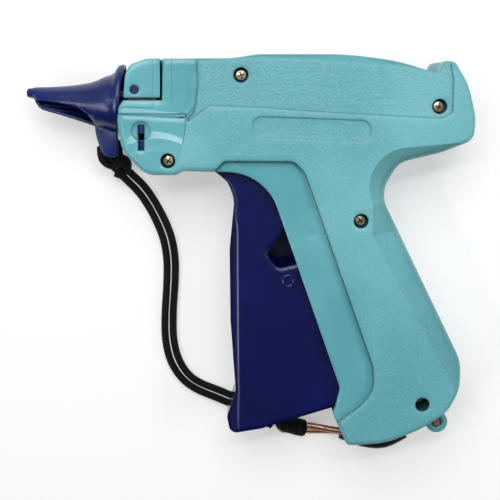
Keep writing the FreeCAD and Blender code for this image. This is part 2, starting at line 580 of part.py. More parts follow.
# Drive lever, with a forked top for the slider's pin and a slot for the link pin.
LEVER_LOW = "((casing_thickness - lever_thickness) / 2)"
LEVER_HIGH = "((casing_thickness + lever_thickness) / 2)"
FORK_WIDTH = "((pin_radius + fork_gap) * 2)"
SLOT_WIDTH = "((pin_radius + slot_gap) * 2)"
PEG_SHARE, ARM_SHARE = 0.385, 0.947
FORK_SHARES, SLOT_SHARES = (0.895, 1.15), (0.955, 1.016)
PEG = between(LEVER_PIVOT, SLIDER_PIN, PEG_SHARE)
drive_lever = cut("drive_lever", fuse("lever_blank", [
    bar("lever_upper", LEVER_PIVOT, between(LEVER_PIVOT, SLIDER_PIN, ARM_SHARE),
        "%s + lever_cheek * 2" % FORK_WIDTH, LEVER_LOW, LEVER_HIGH),
    bar("lever_lower", LEVER_PIVOT, LINK, "%s + lever_cheek * 2" % SLOT_WIDTH,
        LEVER_LOW, LEVER_HIGH),
    disc("lever_hub", LEVER_PIVOT, "boss_radius", "(casing_thickness - lever_hub_width) / 2",
         "(casing_thickness + lever_hub_width) / 2"),
    disc("spring_peg", PEG, "spring_peg_radius", MIDDLE,
         "%s + spring_peg_height" % LEVER_HIGH)]), [
    bar("lever_fork", between(LEVER_PIVOT, SLIDER_PIN, FORK_SHARES[0]),
        between(LEVER_PIVOT, SLIDER_PIN, FORK_SHARES[1]), FORK_WIDTH, "0", TOP),
    bar("lever_slot", between(LEVER_PIVOT, LINK, SLOT_SHARES[0]),
        between(LEVER_PIVOT, LINK, SLOT_SHARES[1]), SLOT_WIDTH, "0", TOP),
    disc("lever_bore", LEVER_PIVOT, PIN_HOLE, "0", TOP)])

SLIDER_LOW = "((casing_thickness - slider_width) / 2)"
SLIDER_HIGH = "((casing_thickness + slider_width) / 2)"
slider = cut("slider", fuse("slider_blank", [
    cut("slider_cheeks", block(
        "slider_block", "%s - bridge_front" % SLIDER_PIN[0], "%s + slider_tail" % SLIDER_PIN[0],
        "%s - slider_half_height" % AXIS_Y, "%s + slider_half_height" % AXIS_Y,
        SLIDER_LOW, SLIDER_HIGH),
        [block("slider_gap", "%s - bridge_back" % SLIDER_PIN[0],
               "%s + overrun" % SLIDER_PIN[0], "%s - overrun" % AXIS_Y, "%s + overrun" % AXIS_Y,
               "%s + slider_cheek" % SLIDER_LOW, "%s - slider_cheek" % SLIDER_HIGH)]),
    disc("slider_pin", SLIDER_PIN, "pin_radius", SLIDER_LOW, SLIDER_HIGH)]),
    [rod("rod_socket", "%s - overrun" % SLIDER_PIN[0], "%s - bridge_back - side_gap * 2"
         % SLIDER_PIN[0], AXIS_Y, MIDDLE, "rod_radius")])
ROD_FRONT_SHARE = -0.3675
push_rod = rod("push_rod", across(ROD_FRONT_SHARE), "%s - bridge_back - side_gap * 2" % SLIDER_PIN[0],
               AXIS_Y, MIDDLE, "rod_radius")

# Tag feed below the slider's axis.
WHEEL_LOW = "((casing_thickness - wheel_width) / 2)"
WHEEL_HIGH = "((casing_thickness + wheel_width) / 2)"
TEETH = 12
notches = []
for i in range(TEETH):
    turn = math.radians(360 * i / TEETH)
    notches.append(disc("tooth_gap_%d" % i, moved(
        WHEEL, "wheel_radius * %.6f" % math.cos(turn), "wheel_radius * %.6f" % math.sin(turn)),
        "tooth_gap_radius", "0", TOP))
feed_wheel = cut("feed_wheel", disc("wheel_blank", WHEEL, "wheel_radius", WHEEL_LOW, WHEEL_HIGH),
                 notches + [disc("wheel_bore", WHEEL, PIN_HOLE, "0", TOP)])
feed_pawl = cut("feed_pawl", fuse("pawl_blank", [
    bar("pawl_arm", PAWL, PAWL_TIP, "pawl_width", WHEEL_LOW, WHEEL_HIGH),
    disc("pawl_hub", PAWL, "pawl_hub_radius", WHEEL_LOW, WHEEL_HIGH)]),
    [disc("pawl_bore", PAWL, "pawl_pin_radius + running_gap", "0", TOP)])
LEAF_TOP = "(%s - wheel_radius - side_gap)" % WHEEL[1]
stop_leaf = block("stop_leaf", "%s - wheel_width / 2" % WHEEL[0],
                  "%s - wheel_width / 2 + leaf_length" % WHEEL[0],
                  "%s - leaf_thickness" % LEAF_TOP, LEAF_TOP, WHEEL_LOW, WHEEL_HIGH)

# Needle lock: a plate under the casing with a knob in the slot and a tongue to the guide.
LOCK_HIGH = "(casing_thickness - lock_plate_sink)"
LOCK_LOW = "(casing_thickness - lock_plate_sink - lock_plate_thickness)"
LOCK_X = SLOT_TOP[0]
LOCK_TOP = "(%s + side_gap)" % SLOT_TOP[1]
KNOB_TOP = "(%s - side_gap)" % SLOT_TOP[1]
TONGUE_HIGH = "(%s + lock_tongue_thickness)" % GUIDE_HIGH
WINDOW_SHARE = 0.33
HALF_WINDOW = "lock_slot_width * %s" % WINDOW_SHARE
needle_lock = cut("needle_lock", fuse("lock_blank", [
    block("lock_plate", "%s - lock_plate_width / 2" % LOCK_X,
          "%s + lock_plate_width / 2" % LOCK_X,
          "%s - lock_slot_length - side_gap" % SLOT_TOP[1], LOCK_TOP, LOCK_LOW, LOCK_HIGH),
    block("lock_knob", "%s - lock_knob_width / 2" % LOCK_X, "%s + lock_knob_width / 2" % LOCK_X,
          "%s - lock_knob_length" % KNOB_TOP, KNOB_TOP, LOCK_LOW,
          "casing_thickness - lock_knob_sink"),
    block("lock_riser", "%s - lock_tongue_width / 2" % LOCK_X,
          "%s + lock_tongue_width / 2" % LOCK_X, "%s - lock_tongue_width" % LOCK_TOP, LOCK_TOP,
          "%s - lock_tongue_thickness" % GUIDE_HIGH, LOCK_HIGH),
    block("lock_tongue", "%s - lock_tongue_width / 2" % LOCK_X,
          "%s + lock_tongue_width / 2" % LOCK_X, "%s - lock_tongue_width" % LOCK_TOP,
          "%s - guide_height / 2 - side_gap" % AXIS_Y,
          "%s - lock_tongue_thickness" % GUIDE_HIGH, GUIDE_HIGH)]),
    [block("lock_window", "%s - %s" % (LOCK_X, HALF_WINDOW), "%s + %s" % (LOCK_X, HALF_WINDOW),
           "%s - lock_knob_length - lock_window_length" % KNOB_TOP,
           "%s - lock_knob_length" % KNOB_TOP, "0", TOP)])


# Each arc of a tube starts this share of the shorter of its two runs before the corner.
CORD_BEND_SHARE, WIRE_BEND_SHARE = 0.45, 0.48


# One solid along straight runs joined by tangent arcs.
def tube(name, points, radius, corner_share):
    edges, radii = [], []
    last = points[0]
    for i in range(1, len(points) - 1):
        p = points[i]
        u = points[i - 1] - p
        v = points[i + 1] - p
        reach = corner_share * min(u.Length, v.Length)
        u.normalize()
        v.normalize()
        half = u.getAngle(v) / 2
        r = reach * math.tan(half)
        radii.append(r)
        inward = (u + v).normalize()
        centre = p + inward * (r / math.sin(half))
        start, end = p + u * reach, p + v * reach
        edges.append(Part.LineSegment(last, start).toShape())
        edges.append(Part.Arc(start, centre - inward * r, end).toShape())
        last = end
    edges.append(Part.LineSegment(last, points[-1]).toShape())
    path = Part.Wire(edges)
    ring = Part.Wire([Part.Circle(points[0], points[1] - points[0], radius).toShape()])
    made = doc.addObject("Part::Feature", name)
    made.Shape = path.makePipeShell([ring], True, False)
    print(name, "length %.1f" % path.Length, "least bend %.2f" % min(radii),
          "volume share %.4f" % (made.Shape.Volume / (math.pi * radius ** 2 * path.Length)))
    return made


# Return spring between the lever's peg and the post: a plain sleeve with an eye at each end.
LEVER_SIDE = FreeCAD.Vector(value_of(PEG[0]), value_of(PEG[1]),
                            value_of("%s + spring_peg_height / 2" % LEVER_HIGH))
POST_SIDE = FreeCAD.Vector(value_of(SPRING_POST[0]), value_of(SPRING_POST[1]), LEVER_SIDE.z)
pull = (POST_SIDE - LEVER_SIDE).normalize()
span = (POST_SIDE - LEVER_SIDE).Length - value_of("spring_end * 2")
coil_start = LEVER_SIDE + pull * value_of("spring_end")
sleeve = Part.makeCylinder(value_of("spring_radius"), span, coil_start, pull)
sleeve = sleeve.cut(Part.makeCylinder(value_of("spring_radius - spring_wall"), span,
                                      coil_start, pull))
eyes = []
for end, side in ((LEVER_SIDE, "spring_peg_radius"), (POST_SIDE, "spring_post_radius")):
    centre_radius = value_of(side + " + side_gap + spring_wall / 2")
    eyes.append(Part.makeTorus(centre_radius, value_of("spring_wall / 2"), end,
                               FreeCAD.Vector(0, 0, 1)))
    toward = (LEVER_SIDE + POST_SIDE).multiply(0.5) - end
    toward.normalize()
    reach = value_of("spring_end + spring_wall") - centre_radius
    eyes.append(Part.makeCylinder(value_of("spring_wall / 2"), reach,
                                  end + toward * centre_radius, toward))
ends = [Part.makeCylinder(value_of("spring_radius"), value_of("spring_wall"),
                          at - pull * value_of("spring_wall / 2"), pull)
        for at in (coil_start, coil_start + pull * span)]
return_spring = doc.addObject("Part::Feature", "return_spring")
return_spring.Shape = sleeve.multiFuse(eyes + ends)

# Cap: a hollow hood over the needle, open below on the near side, with a tab for the cord.
# Each row: place along x and middle as shares of casing_length and casing_height, and size as
# a share of cap_height and cap_width.
HOOD_SHARES = [(-0.764, 0.404, 0.173), (-0.700, 0.388, 0.462), (-0.600, 0.380, 0.712),
               (-0.540, 0.383, 0.936), (-0.507, 0.390, 1.000)]


def hood(name, inset):
    rings = []
    upright = value_of("cap_height") >= value_of("cap_width")
    turn = FreeCAD.Rotation(FreeCAD.Vector(0, 0, 1), 90 if upright else 0)
    longer, shorter = ("cap_height", "cap_width") if upright else ("cap_width", "cap_height")
    for i, (x, y, size) in enumerate(HOOD_SHARES):
        ring = doc.addObject("Part::Ellipse", "%s_ring_%d" % (name, i))
        ring.Placement = FreeCAD.Placement(
            FreeCAD.Vector(0, 0, 0), FreeCAD.Rotation(FreeCAD.Vector(0, 1, 0), 90) * turn)
        bind(ring, "MajorRadius", "%s / 2 * %s - %s" % (longer, size, inset))
        bind(ring, "MinorRadius", "%s / 2 * %s - %s" % (shorter, size, inset))
        bind(ring, ".Placement.Base.x", across(x))
        bind(ring, ".Placement.Base.y", along(y))
        bind(ring, ".Placement.Base.z", MIDDLE)
        rings.append(ring)
    made = doc.addObject("Part::Loft", name)
    made.Sections = rings
    made.Solid = True
    return made


TAB_HOLE = spot((-0.538, 0.287))
hood_body = cut("hood_body", hood("hood_outer", "0"), [
    hood("hood_inner", "cap_wall"),
    slab("hood_opening", outline("hood_opening_outline", CAP_OPENING_SHARES), MIDDLE,
         "casing_thickness + overrun")])
needle_cap = cut("needle_cap", fuse("cap_blank", [
    hood_body, slab("cap_tab", outline("tab_outline", CAP_TAB_SHARES),
                    "(casing_thickness - tab_thickness) / 2",
                    "(casing_thickness + tab_thickness) / 2")]),
    [disc("tab_hole", TAB_HOLE, "tab_hole_radius", "0", TOP)])

# Hook: wire through the lug, down along the foot of the handle, round a tight bend and back
# into a dark sleeve. Each row: shares of casing_length, casing_height and casing_thickness.
HOOK_SHARES = [(0.424, -0.459, 0.680), (0.4235, -0.4592, 0.400), (0.424, -0.461, 0.270),
               (0.335, -0.516, 0.263),
               (0.164, -0.5163, 0.207), (0.042, -0.4975, 0.147), (-0.034, -0.4975, 0.140),
               (-0.034, -0.518, 0.077), (0.150, -0.520, 0.077), (0.262, -0.5445, 0.077),
               (0.333, -0.531, 0.077)]
SLEEVE_FROM = 7


def points_of(table_shares):
    return [FreeCAD.Vector(value_of(across(x)), value_of(along(y)),
                           value_of("casing_thickness * %s" % z)) for x, y, z in table_shares]


hook_points = points_of(HOOK_SHARES)
hanging_hook = tube("hanging_hook", hook_points, value_of("wire_radius"), WIRE_BEND_SHARE)
sleeve_points = hook_points[SLEEVE_FROM + 1:]
sleeve_start = sleeve_points[0] + (sleeve_points[1] - sleeve_points[0]).normalize() \
    * value_of("wire_radius")
sleeve_end = sleeve_points[-1] + (sleeve_points[-1] - sleeve_points[-2]).normalize() \
    * value_of("sleeve_end_round")
sleeve_line = tube("sleeve_line", [sleeve_start] + sleeve_points[1:-1] + [sleeve_end],
                   value_of("sleeve_radius"), WIRE_BEND_SHARE)
hook_sleeve = cut("hook_sleeve", sleeve_line, [hanging_hook])
HITCH = spot((-0.0016, -0.5070))
hitch_block = rod("hitch_block", "%s - hitch_length / 2" % HITCH[0],
                  "%s + hitch_length / 2" % HITCH[0], HITCH[1],
                  "hitch_floor + hitch_radius", "hitch_radius")
cord_hitch = cut("cord_hitch", hitch_block, [hanging_hook])

# Cord: two strands side by side from the knot under the cap to the hitch on the hook. The
# route lies on the ground in real sizes.
KNOT = spot((-0.5051, 0.2196))
knot_ball = doc.addObject("Part::Sphere", "knot_ball")
bind(knot_ball, "Radius", "knot_radius")
for axis, text in (("x", KNOT[0]), ("y", KNOT[1]), ("z", "knot_rise")):
    bind(knot_ball, ".Placement.Base." + axis, text)
LOOP_LEFT = [(-53.4, 41.4, 14.9), (-51.9, 38.0, 14.4), (-49.6, 35.9, 11.0), (-47.3, 35.6, 7.0)]
LOOP_RIGHT = [(-48.0, 43.6, 11.4), (-47.3, 40.0, 10.4), (-47.1, 35.8, 7.0)]
LOOP_END = [(-47.6, 35.0, 7.6), (-48.9, 32.0, 7.4), (-49.2, 30.6, 7.2)]
knot_loops = [tube(word, [FreeCAD.Vector(*p) for p in route], value_of("cord_radius"),
                   CORD_BEND_SHARE)
              for word, route in (("loop_left", LOOP_LEFT), ("loop_right", LOOP_RIGHT),
                                  ("loop_end", LOOP_END))]
cord_knot = cut("cord_knot", fuse("knot_blank", [knot_ball] + knot_loops), [needle_cap])

FRONT_OUTER = [(-47.5, 30.9, 3.3), (-45.2, 28.3, 2.0), (-42.8, 25.9, 1.45),
               (-39.8, 22.2, 1.45), (-36.5, 16.6, 1.45), (-33.6, 10.2, 1.45),
               (-31.9, 4.7, 1.45), (-31.0, -2.5, 1.45), (-31.3, -11.4, 1.45),
               (-31.9, -19.2, 1.45)]
FRONT_INNER = [(-45.0, 32.8, 3.8), (-43.2, 30.7, 2.1), (-40.5, 28.2, 1.45),
               (-37.2, 24.0, 1.45), (-33.7, 18.0, 1.45), (-30.6, 11.4, 1.45),
               (-28.7, 5.3, 1.45), (-27.8, -2.3, 1.45), (-28.1, -11.6, 1.45),
               (-28.8, -19.2, 1.45)]
REAR_OUTER = [(-31.9, -19.2, 1.45), (-32.4, -27.2, 1.45), (-31.9, -35.5, 1.45),
              (-29.8, -43.1, 1.45), (-25.3, -49.6, 1.45), (-19.5, -53.5, 1.45),
              (-13.9, -55.7, 1.45), (-8.4, -58.1, 1.45), (-1.8, -60.9, 1.45),
              (4.8, -64.5, 1.45), (7.6, -66.4, 1.5), (9.6, -67.9, 1.7)]
REAR_INNER = [(-28.8, -19.2, 1.45), (-29.2, -27.2, 1.45), (-28.7, -34.9, 1.45),
              (-26.8, -41.7, 1.45), (-23.1, -47.4, 1.45), (-18.1, -50.7, 1.45),
              (-12.7, -52.7, 1.45), (-7.2, -55.1, 1.45), (-0.4, -58.1, 1.45),
              (6.4, -61.7, 1.45), (8.6, -63.3, 1.5), (10.2, -64.7, 1.7)]
cords = {}
for word, route in (("cord_front_outer", FRONT_OUTER), ("cord_front_inner", FRONT_INNER),
                    ("cord_rear_outer", REAR_OUTER), ("cord_rear_inner", REAR_INNER)):
    cords[word] = tube(word, [FreeCAD.Vector(*p) for p in route], value_of("cord_radius"),
                       CORD_BEND_SHARE)

doc.recompute()
PARTS = [casing_left, casing_right, front_cover, tag_guide, guide_plate, needle, needle_base,
         casing_screws, trigger_pivot_pin, lever_pivot_pin, wheel_axle, stop_leaf, return_spring,
         trigger, link_pin, drive_lever, slider, push_rod, feed_wheel, feed_pawl, needle_lock,
         needle_cap, cord_knot, hanging_hook, hook_sleeve, cord_hitch] + list(cords.values())
for thing in PARTS:
    thing.Label = thing.Name
faults = [thing.Label for thing in doc.Objects
          if "Invalid" in thing.State or "Error" in thing.State]
for thing in PARTS:
    if thing.Shape.isNull() or not thing.Shape.isValid() or not thing.Shape.Solids:
        faults.append("shape of " + thing.Label)
if faults:
    raise SystemExit("failed: " + ", ".join(faults))
for thing in PARTS:
    box = thing.Shape.BoundBox
    print("%-18s solids %d volume %9.1f  x %.1f..%.1f y %.1f..%.1f z %.1f..%.1f" % (
        thing.Label, len(thing.Shape.Solids), thing.Shape.Volume, box.XMin, box.XMax, box.YMin,
        box.YMax, box.ZMin, box.ZMax))
    thing.Shape.exportStep("parts/%s.step" % thing.Label)
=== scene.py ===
import math

import bmesh
import bpy
from mathutils import Matrix, Vector


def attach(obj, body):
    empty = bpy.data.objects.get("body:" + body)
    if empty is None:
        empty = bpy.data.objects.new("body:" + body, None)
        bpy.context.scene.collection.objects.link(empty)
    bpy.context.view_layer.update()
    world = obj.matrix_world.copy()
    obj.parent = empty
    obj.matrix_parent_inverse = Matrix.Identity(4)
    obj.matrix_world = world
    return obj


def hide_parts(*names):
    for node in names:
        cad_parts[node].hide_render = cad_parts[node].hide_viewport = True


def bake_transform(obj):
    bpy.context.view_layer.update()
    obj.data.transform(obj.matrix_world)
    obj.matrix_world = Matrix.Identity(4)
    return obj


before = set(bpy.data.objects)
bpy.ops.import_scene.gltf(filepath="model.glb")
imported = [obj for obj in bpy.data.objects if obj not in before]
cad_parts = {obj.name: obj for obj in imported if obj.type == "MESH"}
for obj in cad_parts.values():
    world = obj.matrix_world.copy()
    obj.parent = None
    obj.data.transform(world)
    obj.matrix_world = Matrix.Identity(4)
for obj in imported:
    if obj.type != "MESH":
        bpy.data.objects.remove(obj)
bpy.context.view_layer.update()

mm = 0.001


def inMetres(*place):
    return Vector(place) * mm


# camera, floor and light
cameraLook = {"eye": (-2.53, 59.41, 400), "aim": (0.65, 5.94, 27.5), "lens": 75.24}
back = (inMetres(*cameraLook["eye"]) - inMetres(*cameraLook["aim"])).normalized()
right = Vector((0, 1, 0)).cross(back).normalized()
cameraData = bpy.data.cameras.new("camera")
cameraData.lens = cameraLook["lens"]
cameraData.sensor_width = 36
cameraData.clip_start = 0.01
camera = bpy.data.objects.new("camera", cameraData)
camera.matrix_world = Matrix.Translation(inMetres(*cameraLook["eye"])) @ Matrix(
    (right, back.cross(right), back)).transposed().to_4x4()
bpy.context.collection.objects.link(camera)
bpy.context.scene.camera = camera
bpy.context.scene.view_settings.view_transform = "Standard"


class SocketMaths:
    # one socket of a node, used in sums as if it were a number
    def __init__(self, maker, socket):
        self.maker, self.socket = maker, socket

    def combine(self, operation, first, second):
        return self.maker.node("ShaderNodeMath", {"operation": operation}, {0: first, 1: second})

    def __add__(self, other):
        return self.combine("ADD", self, other)

    def __radd__(self, other):
        return self.combine("ADD", other, self)

    def __sub__(self, other):
        return self.combine("SUBTRACT", self, other)

    def __rsub__(self, other):
        return self.combine("SUBTRACT", other, self)

    def __mul__(self, other):
        return self.combine("MULTIPLY", self, other)

    def __rmul__(self, other):
        return self.combine("MULTIPLY", other, self)

    def least(self, other):
        return self.combine("MINIMUM", self, other)

    def most(self, other):
        return self.combine("MAXIMUM", self, other)

    def size(self):
        return self.combine("ABSOLUTE", self, 0.0)

    def wave(self):
        return self.combine("SINE", self, 0.0)


class NodeMaker:
    # makes the nodes of one material or of the world
    def __init__(self, owner):
        owner.use_nodes = True
        self.tree = owner.node_tree

    def node(self, kind, settings=None, values=None, output=0):
        made = self.tree.nodes.new(kind)
        for name, value in (settings or {}).items():
            if name == "stops":
                ramp = made.color_ramp
                for index, (at, colour) in enumerate(value):
                    stop = ramp.elements[index] if index < 2 else ramp.elements.new(at)
                    stop.position, stop.color = at, (*colour, 1)
            else:
                setattr(made, name, value)
        for name, value in (values or {}).items():
            if isinstance(value, SocketMaths):
                self.tree.links.new(value.socket, made.inputs[name])
            else:
                made.inputs[name].default_value = value
        return SocketMaths(self, made.outputs[output]) if len(made.outputs) else None

    def smooth(self, value, low, high):
        return self.node("ShaderNodeMapRange", {"interpolation_type": "SMOOTHSTEP"},
                         {"Value": value, "From Min": low, "From Max": high})

    def within(self, value, low, high, soft):
        return self.smooth(value, low - soft, low + soft) * (
            1 - self.smooth(value, high - soft, high + soft))

    def blendColour(self, amount, first, second, mode="MIX"):
        return self.node("ShaderNodeMix", {"data_type": "RGBA", "blend_type": mode},
                         {0: amount, 6: first, 7: second}, 2)

    def noise(self, place, scale, detail=2.0, rough=0.5):
        return self.node("ShaderNodeTexNoise", None, {"Vector": place, "Scale": scale,
                                                      "Detail": detail, "Roughness": rough})

    def objectPlace(self):
        return self.node("ShaderNodeTexCoord", None, None, "Object")

    def axes(self, place):
        split = self.tree.nodes.new("ShaderNodeSeparateXYZ")
        self.tree.links.new(place.socket, split.inputs[0])
        return [SocketMaths(self, output) for output in split.outputs]

    def distanceTo(self, place, x, y):
        # distance in the XY plane from a line along Z
        flat = self.node("ShaderNodeVectorMath", {"operation": "MULTIPLY"},
                         {0: place, 1: (1, 1, 0)})
        return self.node("ShaderNodeVectorMath", {"operation": "DISTANCE"},
                         {0: flat, 1: (x * mm, y * mm, 0)}, "Value")


def colour(red, green, blue):
    # a colour given from 0 to 255 as seen on screen
    return tuple((value / 255 / 12.92) if value <= 10 else ((value / 255 + 0.055) / 1.055) ** 2.4
                 for value in (red, green, blue)) + (1,)


# each lamp: place, width, depth and power
stageLook = {"floorSize": 4, "floorColour": (0.62, 0.62, 0.62, 1), "floorGlow": 0.41,
             "zenith": 0.26, "horizon": 0.36, "northSky": 0.30,
             "lamps": {"keyLamp": ((-50, 330, 450), 380, 300, 1.36),
                       "longLamp": ((-30, 182, 512), 520, 26, 0.80),
                       "sideLamp": ((-290, -80, 430), 260, 24, 0.4),
                       "backLamp": ((360, -20, 330), 260, 90, 0.45)}}
floorMesh = bpy.data.meshes.new("floor")
floorShape = bmesh.new()
bmesh.ops.create_grid(floorShape, x_segments=1, y_segments=1,
                      size=stageLook["floorSize"])
floorShape.to_mesh(floorMesh)
floorShape.free()
floor = bpy.data.objects.new("floor", floorMesh)
bpy.context.collection.objects.link(floor)
floorMaterial = bpy.data.materials.new("paleFloor")
floorMaker = NodeMaker(floorMaterial)
floorNodes = floorMaterial.node_tree.nodes
floorNodes.clear()
rays = floorNodes.new("ShaderNodeLightPath")
seen = (SocketMaths(floorMaker, rays.outputs["Is Camera Ray"])
        + SocketMaths(floorMaker, rays.outputs["Is Glossy Ray"])
        + SocketMaths(floorMaker, rays.outputs["Is Transmission Ray"])).least(1.0)
matt = floorMaker.node("ShaderNodeBsdfDiffuse", None, {"Color": stageLook["floorColour"]})
glow = floorMaker.node("ShaderNodeEmission", None, {"Strength": seen * stageLook["floorGlow"]})
floorMaker.node("ShaderNodeOutputMaterial")
both = floorMaker.node("ShaderNodeAddShader", None, {0: matt, 1: glow})
floorMaterial.node_tree.links.new(both.socket,
                                  floorNodes["Material Output"].inputs["Surface"])
floorMesh.materials.append(floorMaterial)

world = bpy.data.worlds.new("studio")
bpy.context.scene.world = world
worldMaker = NodeMaker(world)
world.node_tree.nodes.clear()
worldPlace = worldMaker.node("ShaderNodeTexCoord", None, None, "Generated")
north, height = worldMaker.axes(worldPlace)[1:]
level = worldMaker.node("ShaderNodeMapRange", None, {
    "Value": height, "From Min": 0.0, "From Max": 0.7, "To Min": stageLook["horizon"],
    "To Max": stageLook["zenith"]})
sky = worldMaker.node("ShaderNodeBackground", None, {
    "Strength": (level + north * stageLook["northSky"]).most(0.05)})
worldMaker.node("ShaderNodeOutputWorld")
world.node_tree.links.new(sky.socket, world.node_tree.nodes["World Output"].inputs["Surface"])
for lampName, (place, width, depth, power) in stageLook["lamps"].items():
    lampData = bpy.data.lights.new(lampName, "AREA")
    lampData.shape, lampData.energy = "RECTANGLE", power
    lampData.size, lampData.size_y = width * mm, depth * mm
    lamp = bpy.data.objects.new(lampName, lampData)
    aimed = (inMetres(10, 0, 15) - inMetres(*place)).to_track_quat("-Z", "Y")
    lamp.matrix_world = Matrix.Translation(inMetres(*place)) @ aimed.to_matrix().to_4x4()
    bpy.context.collection.objects.link(lamp)
print("camera, floor and light done")


# materials
def plastic(name, base, roughness):
    made = bpy.data.materials.new(name)
    maker = NodeMaker(made)
    shader = made.node_tree.nodes["Principled BSDF"]
    shader.inputs["Roughness"].default_value = roughness
    shader.inputs["Base Color"].default_value = base
    return made, maker, shader


def feed(maker, shader, **links):
    for name, value in links.items():
        maker.tree.links.new(value.socket, shader.inputs[name.replace("_", " ")])


def raised(maker, height, strength=1.0, normal=None):
    values = {"Height": height, "Distance": 1.0, "Strength": strength}
    if normal:
        values["Normal"] = normal
    return maker.node("ShaderNodeBump", None, values)


def edgeSoftening(maker, *radii):
    # the shading of rounded edges; two radii are mixed evenly
    parts = [maker.node("ShaderNodeBevel", {"samples": 8}, {"Radius": radius * mm})
             for radius in radii]
    if len(parts) == 1:
        return parts[0]
    both = maker.node("ShaderNodeVectorMath", {"operation": "ADD"}, {0: parts[0], 1: parts[1]})
    return maker.node("ShaderNodeVectorMath", {"operation": "NORMALIZE"}, {0: both})


screwPlaces = [(-2.54, 68.08), (67.46, 57.13), (40.31, 16.60), (63.77, -51.08), (-28.42, 38.08)]
# colours, among them painted shade for the recesses and corners, roughness and grain, then the
# moulded forms: lengths in mm and places as x and y
shellLook = {
    "base": colour(108, 178, 186), "shade": colour(92, 163, 172), "speck": colour(150, 210, 212),
    "recessShadeColour": colour(12, 70, 68), "paintedCornerShade": colour(24, 92, 100), "cornerShadeReach": 2.2,
    "cornerShadeStrength": 0.72, "roughness": 0.34, "glossRoughness": 0.15, "wallRoughness": 0.30,
    "coarseScale": 1050, "fineScale": 1900, "coarseDepth": 0.40, "fineDepth": 0.12,
    "edges": (0.7, 3.4), "bulgeCurve": 14.7, "bulgeFront": -22.0, "bulgeTop": 54.5,
    "waveCurve": 25, "waves": ((45.6, 48.8, 0.42), (41.2, 43.4, 0.12)),
    "thumbBowl": (-37.75, 48.6), "bowlDepth": 0.55, "coverStep": 0.22, "ledge": 0.2,
    "slotStep": 0.25, "noseHollow": 0.4, "groove": 0.12, "wobble": 0.25, "lensDepth": 1.3,
    "waist": (57.2, 28.6), "waistRadius": 14.2, "backSlope": 0.72, "holeRadius": 2.67}


def noseForms(maker, place, x, y, sunk, nearFace, bulge):
    # steps and hollows at the front of the casing, as heights in metres
    look = shellLook
    arch = y + (x + 0.033) * (x + 0.033) * look["waveCurve"]
    waves = sum(maker.smooth(arch, low * mm, high * mm) * (depth * mm)
                for low, high, depth in look["waves"]) * bulge * -1.0
    bowl = maker.smooth(maker.distanceTo(place, *look["thumbBowl"]), 0.0004, 0.0034) * (
        look["bowlDepth"] * mm) * nearFace
    front = nearFace * maker.smooth(y, 0.0600, 0.0602) * (
        1 - maker.smooth(x, -0.0312, -0.0310))
    coverStep = maker.smooth(x, -0.0339, -0.0336) * front * (-look["coverStep"] * mm)
    ledge = maker.within(y, 0.0567, 0.0594, 0.0002) * (
        1 - maker.smooth(x, -0.0341, -0.0338)) * nearFace * (look["ledge"] * mm)
    besideSlot = maker.smooth(x, -0.0308, -0.0304) * (1 - maker.smooth(x, -0.0272, -0.0268))
    slotStep = maker.smooth(y, 0.0585, 0.0588) * besideSlot * (
        nearFace * (-look["slotStep"] * mm))
    # the nose zone rises into its walls in a wide hollow
    wallSide = maker.smooth(x, -0.0232, -0.0182).most(
        1 - maker.smooth(y + x * 0.09, 0.0508, 0.0528))
    hollow = wallSide * maker.smooth(sunk, 0.0037, 0.0039) * maker.smooth(
        y, 0.0505, 0.0510) * (look["noseHollow"] * mm)
    return waves + bowl + coverStep + ledge + slotStep + hollow


def fallenEdges(maker, place, x, y):
    # how far a point lies behind the crease along the handle's back, the waist and the underside
    behind = x * 0.875 + y * 0.485 - 0.04418
    backFall = behind.least(x - 0.0444).least(0.030 - y).least(y + 0.048)
    waistFall = shellLook["waistRadius"] * mm - maker.distanceTo(place, *shellLook["waist"])
    underFall = (x * 0.089 + 0.0378 - y).least(x - 0.0550).least(y - 0.028)
    return backFall.most(waistFall).most(underFall).most(0.0)


